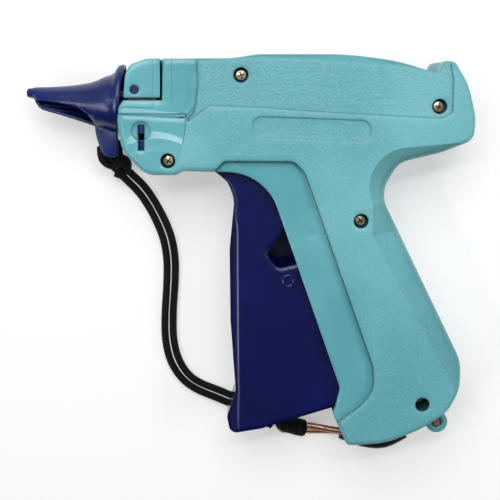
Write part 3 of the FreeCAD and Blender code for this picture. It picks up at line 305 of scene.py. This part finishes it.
def shellPlastic():
    look = shellLook
    made, maker, shader = plastic("tealShell", look["base"], look["roughness"])
    place = maker.objectPlace()
    x, y, z = maker.axes(place)
    sunk = 0.015 - (z - 0.015).size()  # depth below the outer face of either half
    nearFace = maker.smooth(z, 0.0250, 0.0256)
    coarse = maker.smooth(sunk, 0.0004, 0.0007) * (1 - maker.smooth(sunk, 0.0010, 0.0013))
    flat = 1 - maker.smooth(sunk, 0.0009, 0.0013)
    # the glossy bulge round the lock, and the long lens that rounds off the top edge
    fall = 0.0532 - y
    bulgeEdge = x + fall * fall * look["bulgeCurve"] - look["bulgeFront"] * mm
    belowTop = 1 - maker.smooth(y, (look["bulgeTop"] - 0.3) * mm, (look["bulgeTop"] + 0.3) * mm)
    bulge = (1 - maker.smooth(bulgeEdge, -0.0002, 0.0002)) * belowTop
    lens = maker.smooth(y + x * 0.0678 - 0.07374, 0.0, 0.0035) * nearFace
    grained = flat * (1 - bulge) * (1 - lens)
    leather = maker.noise(place, look["coarseScale"], 3.0, 0.6) * coarse * (
        look["coarseDepth"] * mm)
    sand = maker.noise(place, look["fineScale"], 2.0) * (grained * (look["fineDepth"] * mm))
    groove = (1 - maker.smooth(bulgeEdge.size(), 0.0, 0.0004)) * (flat * belowTop) * (
        -look["groove"] * mm)
    wobble = maker.noise(place, 60, 2.0) * (look["wobble"] * mm)
    crease = (fallenEdges(maker, place, x, y) * look["backSlope"]
              + lens * (look["lensDepth"] * mm)) * -1.0
    bump = raised(maker, leather + sand + groove + wobble + crease + noseForms(
        maker, place, x, y, sunk, nearFace, bulge), 1.0, edgeSoftening(maker, *look["edges"]))
    # painted shade: deep green painted into the screw recesses, and a little painted shade in every
    # corner
    nearest = maker.distanceTo(place, *screwPlaces[0])
    for spot in screwPlaces[1:]:
        nearest = nearest.least(maker.distanceTo(place, *spot))
    paintedRecessShade = (1 - maker.smooth(nearest, (look["holeRadius"] - 0.05) * mm,
                             (look["holeRadius"] + 0.05) * mm)) * maker.smooth(
        z, 0.016, 0.018) * (1 - maker.smooth(z, 0.0290, 0.0297))
    body = maker.blendColour(maker.smooth(maker.noise(place, 25, 3.0), 0.35, 0.65),
                             look["base"], look["shade"])
    grit = maker.noise(place, look["fineScale"] * 0.6, 2.0)
    gritty = maker.blendColour((maker.smooth(grit, 0.45, 0.75) * grained) * 0.22, body,
                               look["speck"])
    # painted corner shade: ambient occlusion blends the colour darker in every corner, step and
    # slit
    corner = maker.node("ShaderNodeAmbientOcclusion", {"samples": 8},
                        {"Distance": look["cornerShadeReach"] * mm}, "AO")
    deep = maker.blendColour((1 - maker.smooth(corner, 0.3, 0.95)) * look["cornerShadeStrength"],
                             gritty, look["paintedCornerShade"])
    painted = maker.blendColour(paintedRecessShade, deep, look["recessShadeColour"])
    facing = maker.axes(maker.node("ShaderNodeNewGeometry", None, None, "Normal"))[2]
    wallRough = (1 - facing.size()) * maker.smooth(sunk, 0.003, 0.006) * look["wallRoughness"]
    sheen = maker.smooth(maker.noise(place, 400, 3.0), 0.3, 0.7) * 0.06
    rough = look["glossRoughness"] + (look["roughness"] - look["glossRoughness"]) * (
        grained + coarse).least(1.0) + sheen + wallRough
    feed(maker, shader, Base_Color=painted, Normal=bump, Roughness=rough)
    return made


navyLook = {"trigger": colour(6, 17, 82), "cap": colour(14, 36, 102),
            "ejectorMark": (14.56, -6.02), "ejectorRadius": 2.0,
            "coverPin": (-40.28, 63.1), "pinRing": 0.8}


def ringAt(maker, place, middle, radius):
    # distance from a ring round a line along Z
    return (maker.distanceTo(place, *middle) - radius * mm).size()


def navyPlastic(name, base, roughness, scratch, softness, marks):
    made, maker, shader = plastic(name, base, roughness)
    place = maker.objectPlace()
    long = maker.node("ShaderNodeMapping", None, {"Vector": place, "Scale": (1, 0.25, 1)})
    cloud = maker.noise(place, 45, 3.0)
    body = maker.blendColour(maker.smooth(cloud, 0.3, 0.7), base,
                             tuple(value * 0.72 for value in base[:3]) + (1,))
    scuffs = maker.smooth(maker.noise(long, 1800, 3.0, 0.7), 0.62, 0.72)
    rough = maker.noise(place, 300, 3.0) * 0.06 + scuffs * scratch + (roughness - 0.04)
    height = maker.noise(place, 90, 2.0) * (0.2 * mm)
    if marks == "pin":
        # the head of the pin that shows in the front cover
        pin = ringAt(maker, place, navyLook["coverPin"], navyLook["pinRing"])
        height = height - (1 - maker.smooth(pin, 0.0001, 0.0003)) * (0.25 * mm)
    if marks == "grip":
        # the front of the grip is rounded off in a band, and an ejector has left a ring
        x, y, z = maker.axes(place)
        ring = ringAt(maker, place, navyLook["ejectorMark"], navyLook["ejectorRadius"])
        bend = maker.smooth(y, 0.0120, 0.0400)
        inward = (-0.00245 - x - bend * 0.0120).most(0.0)
        fall = (inward * inward * 150) * maker.smooth(
            (z - 0.015).size(), 0.0086, 0.0088)
        height = height - maker.smooth(ring, 0.0, 0.0003) * (0.12 * mm) - fall
    bump = raised(maker, height, 0.8, edgeSoftening(maker, softness))
    feed(maker, shader, Base_Color=body, Normal=bump, Roughness=rough)
    return made


# colour and roughness of each
metalLook = {"steel": ((0.55, 0.55, 0.56, 1), 0.30), "brassScrew": ((0.86, 0.66, 0.50, 1), 0.32),
             "screwShadow": ((0.11, 0.07, 0.05, 1), 0.5),
             "darkSteel": ((0.22, 0.15, 0.11, 1), 0.35),
             "copperWire": ((0.62, 0.36, 0.24, 1), 0.32)}


def metal(name):
    base, roughness = metalLook[name]
    made, maker, shader = plastic(name, base, roughness)
    shader.inputs["Metallic"].default_value = 1.0
    place = maker.objectPlace()
    tarnish = maker.smooth(maker.noise(place, 700, 4.0, 0.6), 0.42, 0.72)
    dull = tuple(value * 0.5 for value in base[:3]) + (1,)
    feed(maker, shader, Base_Color=maker.blendColour(tarnish, base, dull),
         Roughness=maker.noise(place, 2500, 2.0) * 0.25 + (roughness - 0.1),
         Normal=raised(maker, maker.noise(place, 3500, 3.0) * (0.03 * mm), 0.6,
                       edgeSoftening(maker, 0.12)))
    return made


cordLook = {"dark": colour(6, 6, 8), "light": colour(24, 24, 27), "around": 8, "pitch": 2.1}


def fibre(name, length):
    # a braid that follows the tube: u runs round it and v along it
    made, maker, shader = plastic(name, cordLook["dark"], 0.78)
    shader.inputs["Specular IOR Level"].default_value = 0.25
    u, v, w = maker.axes(maker.node("ShaderNodeTexCoord", None, None, "UV"))
    turns = v * (math.pi * length / (cordLook["pitch"] * mm))
    half = u * (math.pi * cordLook["around"])
    one, other = (half + turns).wave(), (half - turns).wave()
    braid = one.most(other)
    place = maker.objectPlace()
    fuzz = maker.noise(place, 5200, 3.0, 0.7)
    feed(maker, shader,
         Base_Color=maker.blendColour(maker.smooth(braid + fuzz, 0.9, 1.7), cordLook["dark"],
                                      cordLook["light"]),
         Normal=raised(maker, braid * (0.10 * mm) + fuzz * (0.08 * mm), 0.9))
    return made


def woundFibre(name, place):
    # turns of cord round a body, square to its own X axis
    made, maker, shader = plastic(name, cordLook["dark"], 0.8)
    shader.inputs["Specular IOR Level"].default_value = 0.25
    spot = place.inverted()
    turn = spot.to_euler()
    own = maker.node("ShaderNodeMapping", None, {
        "Vector": maker.objectPlace(), "Location": spot.translation, "Rotation": turn})
    x, y, z = maker.axes(own)
    turns = (x * (2 * math.pi / 0.0026) + y * 300).wave()
    weave = ((x + y) * 3800).wave() * ((x - y + z) * 3800).wave()
    feed(maker, shader,
         Base_Color=maker.blendColour(maker.smooth(turns + weave * 0.5, 0.0, 1.2),
                                      cordLook["dark"], cordLook["light"]),
         Normal=raised(maker, turns * (0.35 * mm) + weave * (0.08 * mm)))
    return made


def rubber(name, base, roughness):
    made, maker, shader = plastic(name, base, roughness)
    place = maker.objectPlace()
    feed(maker, shader,
         Base_Color=maker.blendColour(maker.noise(place, 300, 3.0), base,
                                      tuple(value * 0.5 for value in base[:3]) + (1,)),
         Roughness=maker.noise(place, 900, 3.0) * 0.3 + (roughness - 0.15),
         Normal=raised(maker, maker.noise(place, 1800, 3.0) * (0.04 * mm), 0.8,
                       edgeSoftening(maker, 0.2)))
    return made


finishes = {
    "shell": shellPlastic(),
    "trigger": navyPlastic("navyTrigger", navyLook["trigger"], 0.20, 0.04, 2.8, "grip"),
    "cap": navyPlastic("navyCap", navyLook["cap"], 0.26, 0.30, 0.4, "pin"),
    "steel": metal("steel"), "darkSteel": metal("darkSteel"), "brass": metal("brassScrew"),
    "copper": metal("copperWire"),
    "black": rubber("blackSleeve", colour(22, 22, 24), 0.42),
    "inner": rubber("innerPlastic", colour(60, 66, 70), 0.45),
    "white": rubber("whiteNylon", colour(196, 198, 196), 0.42),
    "knot": fibre("knotFibre", 0.02)}
nodeFinish = {
    "casing_left": "shell", "casing_right": "shell", "front_cover": "shell", "tag_guide": "cap",
    "guide_plate": "darkSteel", "needle": "steel", "needle_base": "steel", "casing_screws": "brass",
    "trigger_pivot_pin": "steel", "lever_pivot_pin": "steel", "wheel_axle": "steel",
    "stop_leaf": "steel", "return_spring": "steel", "trigger": "trigger", "link_pin": "steel",
    "drive_lever": "inner", "slider": "white", "push_rod": "steel", "feed_wheel": "white",
    "feed_pawl": "inner", "needle_lock": "cap", "needle_cap": "cap", "cord_knot": "knot",
    "hanging_hook": "copper", "hook_sleeve": "black", "cord_hitch": "knot",
    "cord_front_outer": "knot", "cord_front_inner": "knot", "cord_rear_outer": "knot",
    "cord_rear_inner": "knot"}
for nodeName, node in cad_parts.items():
    node.data.materials.clear()
    node.data.materials.append(finishes[nodeFinish[nodeName]])
print("materials done")


# pieces
def newPiece(name, shape, finish, body, standsFor=(), smooth=40):
    bmesh.ops.remove_doubles(shape, verts=shape.verts, dist=0.000001)
    mesh = bpy.data.meshes.new(name)
    shape.to_mesh(mesh)
    shape.free()
    mesh.materials.append(finish)
    mesh.shade_smooth()
    mesh.set_sharp_from_angle(angle=math.radians(smooth))
    piece = bpy.data.objects.new(name, mesh)
    bpy.context.collection.objects.link(piece)
    if body:
        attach(piece, body)
    if standsFor:
        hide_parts(*standsFor)
    return piece


def ringStack(stations, around=48):
    # a skin through oval rings across X: x, y, z, half height, half depth and lean of each
    def placeOf(x, y, z, tall, deep, lean):
        tilt = Matrix.Identity(4)
        tilt[0][1] = lean
        return Matrix.Translation(inMetres(x, y, z)) @ tilt @ Matrix.Diagonal(
            (1, tall * mm, deep * mm, 1))

    shape = bmesh.new()
    ring = bmesh.ops.create_circle(
        shape, segments=around, radius=1,
        matrix=placeOf(*stations[0]) @ Matrix.Rotation(math.pi / 2, 4, "Y"))["verts"]
    for before, after in zip(stations, stations[1:]):
        held = set(ring)
        edges = {edge for vertex in ring for edge in vertex.link_edges
                 if held.issuperset(edge.verts)}
        made = bmesh.ops.extrude_edge_only(shape, edges=list(edges))["geom"]
        ring = [item for item in made if isinstance(item, bmesh.types.BMVert)]
        bmesh.ops.transform(shape, matrix=placeOf(*after) @ placeOf(*before).inverted(),
                            verts=ring)
    return shape


def closeEnds(shape):
    # fills every open ring
    bmesh.ops.holes_fill(shape, edges=[edge for edge in shape.edges if edge.is_boundary],
                         sides=0)
    bmesh.ops.recalc_face_normals(shape, faces=shape.faces)


def slabOf(shape, outline, low, high):
    # a flat slab with this outline
    face = shape.faces.new([shape.verts.new(inMetres(x, y, low)) for x, y in outline])
    made = bmesh.ops.extrude_face_region(shape, geom=[face])["geom"]
    top = [item for item in made if isinstance(item, bmesh.types.BMVert)]
    bmesh.ops.translate(shape, vec=(0, 0, (high - low) * mm), verts=top)
    bmesh.ops.recalc_face_normals(shape, faces=shape.faces)
    return shape


def stick(shape, start, end, wide, deep):
    # a bar from one point to another
    along = inMetres(*end) - inMetres(*start)
    place = Matrix.Translation((inMetres(*start) + inMetres(*end)) / 2) @ (
        along.to_track_quat("X", "Z").to_matrix().to_4x4())
    bmesh.ops.create_cube(shape, size=1, matrix=place @ Matrix.Diagonal(
        (along.length, wide * mm, deep * mm, 1)))


def roundEdges(shape, width, angle=40, segments=2):
    sharp = [edge for edge in shape.edges if len(edge.link_faces) == 2
             and edge.calc_face_angle(0) > math.radians(angle)]
    bmesh.ops.bevel(shape, geom=sharp, offset=width * mm, offset_type="OFFSET",
                    segments=segments, profile=0.5, affect="EDGES", material=-1,
                    clamp_overlap=True)


# cords: the same route points as the solids, in mm
cordRadius = 1.4
cordRoutes = {
    "frontOuterCord": ("cord_front_outer", 0.0551, [
        (-47.5, 30.9, 3.3), (-45.2, 28.3, 2.0), (-42.8, 25.9, 1.45), (-39.8, 22.2, 1.45),
        (-36.5, 16.6, 1.45), (-33.6, 10.2, 1.45), (-31.9, 4.7, 1.45), (-31.0, -2.5, 1.45),
        (-31.3, -11.4, 1.45), (-31.9, -19.2, 1.45)]),
    "frontInnerCord": ("cord_front_inner", 0.0574, [
        (-45.0, 32.8, 3.8), (-43.2, 30.7, 2.1), (-40.5, 28.2, 1.45), (-37.2, 24.0, 1.45),
        (-33.7, 18.0, 1.45), (-30.6, 11.4, 1.45), (-28.7, 5.3, 1.45), (-27.8, -2.3, 1.45),
        (-28.1, -11.6, 1.45), (-28.8, -19.2, 1.45)]),
    "rearOuterCord": ("cord_rear_outer", 0.0715, [
        (-31.9, -19.2, 1.45), (-32.4, -27.2, 1.45), (-31.9, -35.5, 1.45), (-29.8, -43.1, 1.45),
        (-25.3, -49.6, 1.45), (-19.5, -53.5, 1.45), (-13.9, -55.7, 1.45), (-8.4, -58.1, 1.45),
        (-1.8, -60.9, 1.45), (4.8, -64.5, 1.45), (7.6, -66.4, 1.5), (9.6, -67.9, 1.7)]),
    "rearInnerCord": ("cord_rear_inner", 0.0671, [
        (-28.8, -19.2, 1.45), (-29.2, -27.2, 1.45), (-28.7, -34.9, 1.45), (-26.8, -41.7, 1.45),
        (-23.1, -47.4, 1.45), (-18.1, -50.7, 1.45), (-12.7, -52.7, 1.45), (-7.2, -55.1, 1.45),
        (-0.4, -58.1, 1.45), (6.4, -61.7, 1.45), (8.6, -63.3, 1.5), (10.2, -64.7, 1.7)])}


def smoothLine(name, route, radius=0.0, closed=False):
    # a NURBS curve along the route; with a radius it is a tube
    curve = bpy.data.curves.new(name, "CURVE")
    curve.dimensions = "3D"
    curve.resolution_u = 10
    spline = curve.splines.new("NURBS")
    spline.points.add(len(route) - 1)
    for point, place in zip(spline.points, route):
        point.co = (*inMetres(*place), 1)
    spline.order_u = 3
    spline.use_endpoint_u = not closed
    spline.use_cyclic_u = closed
    curve.bevel_depth = radius * mm
    curve.bevel_resolution = 5
    curve.use_fill_caps = not closed
    holder = bpy.data.objects.new(name, curve)
    bpy.context.collection.objects.link(holder)
    graph = bpy.context.evaluated_depsgraph_get()
    mesh = bpy.data.meshes.new_from_object(holder.evaluated_get(graph))
    bpy.data.objects.remove(holder)
    return mesh


def tubePiece(name, routes, radius, finish, body, standsFor=(), closed=()):
    shape = bmesh.new()
    for index, route in enumerate(routes):
        shape.from_mesh(smoothLine(name, route, radius, index in closed))
    return newPiece(name, shape, finish, body, standsFor, 60)


knotLook = {"radius": 1.45, "closed": (3, 4), "wraps": [
    [(-54.0, 42.0, 14.8), (-54.4, 38.6, 12.6), (-52.8, 35.8, 9.6), (-50.0, 34.7, 7.2),
     (-47.4, 34.6, 5.8)],
    [(-51.8, 41.5, 12.8), (-51.6, 38.8, 11.2), (-49.8, 37.0, 9.0), (-47.6, 36.2, 7.2)],
    [(-47.6, 44.4, 12.2), (-48.0, 41.0, 11.2), (-47.4, 38.0, 9.4), (-46.6, 35.2, 6.8)],
    [(-50.4, 34.8, 8.6), (-48.4, 38.0, 9.4), (-45.6, 37.8, 8.0), (-44.8, 34.8, 5.0),
     (-46.6, 32.6, 4.0), (-49.4, 33.4, 4.8)],
    [(-49.0, 35.4, 9.0), (-46.2, 36.4, 8.8), (-44.8, 33.9, 6.6), (-46.9, 32.0, 4.9),
     (-49.3, 33.0, 6.0)],
    [(-47.6, 34.4, 6.2), (-48.2, 32.9, 6.3), (-48.7, 31.7, 6.6), (-49.1, 30.6, 6.9)]]}
knot = tubePiece("tabKnot", knotLook["wraps"], knotLook["radius"], fibre("knotBraid", 0.024),
                 "cap_body", ("cord_knot",), knotLook["closed"])
hitchLook = {"turn": -13, "place": (17.2, -67.0, 3.9), "stations": [
    (-6.3, 0.8, 0.8), (-6.1, 1.7, 1.5), (-5.0, 2.5, 2.4), (-3.0, 2.9, 3.0), (-0.5, 3.2, 3.4),
    (2.4, 3.4, 3.5), (4.6, 3.3, 3.4), (5.6, 2.8, 2.9), (6.0, 2.0, 2.0)]}
hitchPlace = Matrix.Translation(inMetres(*hitchLook["place"])) @ Matrix.Rotation(
    math.radians(hitchLook["turn"]), 4, "Z")
hitchShape = ringStack([(x, 0, 0, tall, deep, 0) for x, tall, deep in hitchLook["stations"]])
closeEnds(hitchShape)
bmesh.ops.transform(hitchShape, matrix=hitchPlace, verts=hitchShape.verts)
hitch = newPiece("hookHitch", hitchShape, woundFibre("hitchBraid", hitchPlace), "hook_body",
                 ("cord_hitch",))
for cordName, (node, length, route) in cordRoutes.items():
    line = smoothLine(cordName, route)
    cord = tubePiece(cordName, [route], cordRadius, fibre(cordName + "Fibre", length), None,
                     (node,))
    part = "front" if cordName.startswith("front") else "rear"
    if part == "front":
        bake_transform(cord)
    else:
        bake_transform(cord)
print("cords done")


# the moulded shells and the trigger: copies of the solids with their edges rounded
def roundedCopy(name, node, finish, body, pick):
    shape = bmesh.new()
    shape.from_mesh(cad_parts[node].data)
    bmesh.ops.remove_doubles(shape, verts=shape.verts, dist=0.000002)
    bmesh.ops.dissolve_limit(shape, angle_limit=math.radians(0.6), verts=shape.verts,
                             edges=shape.edges)
    weight = shape.edges.layers.float.new("bevel_weight_edge")
    for edge in shape.edges:
        if len(edge.link_faces) == 2 and edge.calc_face_angle(0) > math.radians(28):
            edge[weight] = pick(edge) / 4
    piece = newPiece(name, shape, finish, body, (node,), 28)
    rounding = piece.modifiers.new("rounding", "BEVEL")
    rounding.limit_method = "WEIGHT"
    rounding.width = 4 * mm
    rounding.segments = 3
    rounding.harden_normals = True
    return piece


# how much each kind of edge is rounded, in mm
casingLook = {"outer": 1.5, "relief": 1.3, "nose": 1.2, "panel": 0.55, "plate": 0.3,
              "fine": 0.2}
smallPlaces = screwPlaces + [(-37.75, 48.6), (-37.75, 46.2), (-37.75, 43.0)]


def casingEdge(edge):
    # shallow steps are rounded less than the deep ones
    walls = [face for face in edge.link_faces if abs(face.normal.z) < 0.7]
    middle = (edge.verts[0].co + edge.verts[1].co) / 2
    if len(walls) != 1 or abs(middle.z - 0.015) < 0.0095:
        return 0.0
    if any((middle.xy - inMetres(*spot, 0).xy).length < 0.0046 for spot in smallPlaces):
        return casingLook["fine"]
    sunk = [15 - abs(vertex.co.z - 0.015) / mm for vertex in walls[0].verts]
    high, low = min(sunk), max(sunk)
    if low < 0.5:
        return casingLook["plate"]
    if low < 1.0:
        return casingLook["panel"]
    if low < 2.6:
        return casingLook["relief"]
    if low < 4.6:
        return casingLook["nose"]
    return casingLook["outer"]


# width of the rounding at the front of the grip and elsewhere
triggerLook = {"front": 3.8, "foot": 2.5, "other": 0.45}


def triggerEdge(edge):
    walls = [face for face in edge.link_faces if abs(face.normal.z) < 0.5]
    flats = [face for face in edge.link_faces if abs(face.normal.z) > 0.9]
    middle = (edge.verts[0].co + edge.verts[1].co) / 2
    if not walls or not flats or abs(abs(middle.z - 0.015) - 0.009) > 0.0002:
        return 0.0
    if walls[0].normal.x < -0.35 and middle.x < 0.004:
        return triggerLook["foot" if middle.y < -0.052 else "front"]
    return triggerLook["other"]


coverLook = {"edge": 0.7}


def coverEdge(edge):
    middle = (edge.verts[0].co + edge.verts[1].co) / 2
    tall = [face for face in edge.link_faces if abs(face.normal.z) < 0.7]
    return coverLook["edge"] if middle.z > 0.0255 and len(tall) == 1 and (
        middle.xy - inMetres(-40.28, 63.1, 0).xy).length > 0.003 else 0.0


leftShell = roundedCopy("nearShell", "casing_left", finishes["shell"], "casing",
                        casingEdge)
rightShell = roundedCopy("farShell", "casing_right", finishes["shell"], "casing",
                         casingEdge)
frontCover = roundedCopy("frontCoverSkin", "front_cover", finishes["shell"], "casing",
                         coverEdge)
grip = roundedCopy("squeezeGrip", "trigger", finishes["trigger"], "trigger_body",
                   triggerEdge)
print("shells and trigger done")

# the hood over the needle: x, top, bottom, half depth and lean of each ring
hoodLook = {"wall": 1.1, "rings": [
    (-80.3, 62.7, 61.1, 1.0, 0), (-80.1, 63.3, 60.5, 1.5, 0), (-79.5, 63.6, 60.2, 1.9, 0),
    (-78.2, 63.7, 60.0, 2.0, 0), (-77.6, 63.9, 59.4, 2.3, 0), (-77.1, 64.0, 58.2, 2.9, 0),
    (-76.2, 64.0, 56.9, 3.6, 0), (-75.0, 64.05, 55.9, 4.3, 0), (-72.8, 64.1, 55.2, 5.0, 0),
    (-68.4, 64.3, 54.0, 6.1, 0), (-64.5, 64.6, 52.8, 6.9, 0), (-61.1, 65.0, 51.7, 7.5, 0),
    (-57.5, 65.6, 50.5, 8.3, 0), (-55.0, 66.4, 49.6, 8.9, 0), (-52.1, 67.8, 48.9, 9.6, 0.02),
    (-49.9, 68.6, 48.3, 10.0, 0.05), (-48.9, 69.3, 48.0, 10.1, 0.06),
    (-48.3, 70.6, 47.9, 10.2, 0.07), (-47.6, 71.8, 47.8, 10.3, 0.08),
    (-46.9, 72.1, 47.6, 10.5, 0.1), (-45.9, 72.1, 47.5, 10.6, 0.12)],
    "opening": [(-77.6, 59.5), (-77.1, 59.4), (-76.2, 59.3), (-75.0, 59.25), (-72.8, 59.1),
                (-68.4, 58.4), (-64.5, 57.7), (-61.1, 56.9), (-57.5, 54.4), (-55.0, 50.2)],
    "tab": [(-55.8, 50.5), (-55.7, 48.2), (-55.3, 46.0), (-54.0, 41.3), (-52.8, 39.4),
            (-51.3, 38.8), (-48.3, 38.6), (-47.7, 39.6), (-47.4, 42.4), (-47.6, 50.0)],
    "ribs": [((-76.0, 57.6, 13.2), (-57.0, 56.2, 9.0)),
             ((-75.4, 56.9, 14.0), (-57.5, 53.6, 10.2)),
             ((-74.6, 56.3, 14.8), (-58.5, 51.8, 12.2))]}


def onNearSide(face, left, right):
    # whether a face of the hood lies between two x on the side that is cut open
    spot = face.calc_center_median()
    return left * mm < spot.x < right * mm and spot.z > 0.015


hoodShape = ringStack([(x, (top + bottom) / 2, 15, (top - bottom) / 2, deep, lean)
                       for x, top, bottom, deep, lean in hoodLook["rings"]], 64)
for (x1, y1), (x2, y2) in zip(hoodLook["opening"], hoodLook["opening"][1:]):
    edgePoint, across = inMetres(x1, y1, 0), Vector((y1 - y2, x2 - x1, 0)).normalized()
    span = [face for face in hoodShape.faces if onNearSide(face, x1, x2)]
    parts = span + list({edge for face in span for edge in face.edges}) + list(
        {vertex for face in span for vertex in face.verts})
    bmesh.ops.bisect_plane(hoodShape, geom=parts, dist=0.000002, plane_co=edgePoint,
                           plane_no=across)
    gone = [face for face in hoodShape.faces if onNearSide(face, x1, x2) and (
        face.calc_center_median() - edgePoint).dot(across) < 0]
    bmesh.ops.delete(hoodShape, geom=gone, context="FACES")
hoodTip = [edge for edge in hoodShape.edges if edge.is_boundary
           and max(vertex.co.x for vertex in edge.verts) < -0.0801]
bmesh.ops.holes_fill(hoodShape, edges=hoodTip, sides=0)
bmesh.ops.recalc_face_normals(hoodShape, faces=hoodShape.faces)
hood = newPiece("needleHood", hoodShape, finishes["cap"], "cap_body", ("needle_cap",))
wall = hood.modifiers.new("wall", "SOLIDIFY")
wall.thickness, wall.offset = hoodLook["wall"] * mm, -1
tabShape = slabOf(bmesh.new(), hoodLook["tab"], 13.8, 16.4)
roundEdges(tabShape, 0.5, 40, 3)
tab = newPiece("hoodTab", tabShape, finishes["cap"], "cap_body")
ribShape = bmesh.new()
for start, end in hoodLook["ribs"]:
    stick(ribShape, start, end, 0.7, 1.6)
roundEdges(ribShape, 0.2)
ribs = newPiece("hoodRibs", ribShape, finishes["cap"], "cap_body")
print("hood done")


# cross head screws: a domed disc, cut by planes, with its cross pressed in
screwLook = {"radius": 1.75, "high": 0.3, "slot": 0.6, "arm": 1.25, "sunk": 0.6,
             "heads": [(-2.54, 68.08, 26.6, 20), (67.46, 57.13, 26.6, 75), (40.31, 16.60, 26.6, 38),
                       (63.77, -51.08, 20.6, 10), (-28.42, 38.08, 26.6, 52)]}


def screwHead(x, y, top, turn):
    look = screwLook
    part = bmesh.new()
    bmesh.ops.create_circle(part, cap_ends=True, segments=40, radius=look["radius"] * mm)
    for reach in (look["slot"] / 2, look["arm"]):
        for way in (Vector((1, 0, 0)), Vector((0, 1, 0)), Vector((-1, 0, 0)),
                    Vector((0, -1, 0))):
            bmesh.ops.bisect_plane(part, geom=part.verts[:] + part.edges[:] + part.faces[:],
                                   dist=0.000001, plane_co=way * reach * mm, plane_no=way)
    for vertex in part.verts:
        vertex.co.z = look["high"] * mm * (1 - (vertex.co.xy.length / look["radius"] / mm) ** 2)
    rim = [edge for edge in part.edges if edge.is_boundary]
    made = bmesh.ops.extrude_edge_only(part, edges=rim)["geom"]
    bmesh.ops.translate(part, vec=(0, 0, -1.2 * mm), verts=[
        item for item in made if isinstance(item, bmesh.types.BMVert)])
    bmesh.ops.recalc_face_normals(part, faces=part.faces)
    pressed = []
    for face in part.faces:
        spot = face.calc_center_median() / mm
        near, far = sorted((abs(spot.x), abs(spot.y)))
        if face.normal.z > 0.7 and near < look["slot"] / 2 and far < look["arm"]:
            pressed.append(face)
    made = bmesh.ops.extrude_face_region(part, geom=pressed)["geom"]
    bmesh.ops.delete(part, geom=pressed, context="FACES_ONLY")
    floorVerts = [item for item in made if isinstance(item, bmesh.types.BMVert)]
    bmesh.ops.translate(part, vec=(0, 0, -look["sunk"] * mm), verts=floorVerts)
    for face in {face for vertex in floorVerts for face in vertex.link_faces}:
        face.material_index = 1
    bmesh.ops.transform(part, matrix=Matrix.Translation(inMetres(x, y, top)) @ Matrix.Rotation(
        math.radians(turn), 4, "Z"), verts=part.verts)
    mesh = bpy.data.meshes.new("head")
    part.to_mesh(mesh)
    part.free()
    return mesh


screwShape = bmesh.new()
for head in screwLook["heads"]:
    screwShape.from_mesh(screwHead(*head))
    x, y, top, turn = head
    bmesh.ops.create_cone(screwShape, cap_ends=True, segments=24, radius1=0.9 * mm,
                          radius2=1.0 * mm, depth=6 * mm,
                          matrix=Matrix.Translation(inMetres(x, y, top - 4)))
screws = newPiece("crossHeadScrews", screwShape, finishes["brass"], "casing",
                  ("casing_screws",), 30)
screws.data.materials.append(metal("screwShadow"))

# dark sleeve on the free end of the hook
sleeveLook = {"radius": 2.25, "route": [
    (36.6, -70.6, 2.6), (41.0, -72.4, 2.5), (46.0, -74.2, 2.4), (52.0, -74.9, 2.4),
    (57.0, -73.4, 2.4), (61.6, -70.4, 2.5)]}
sleeve = tubePiece("hookSleeve", [sleeveLook["route"]], sleeveLook["radius"],
                   finishes["black"], "hook_body", ("hook_sleeve",))
print("screws and sleeve done")
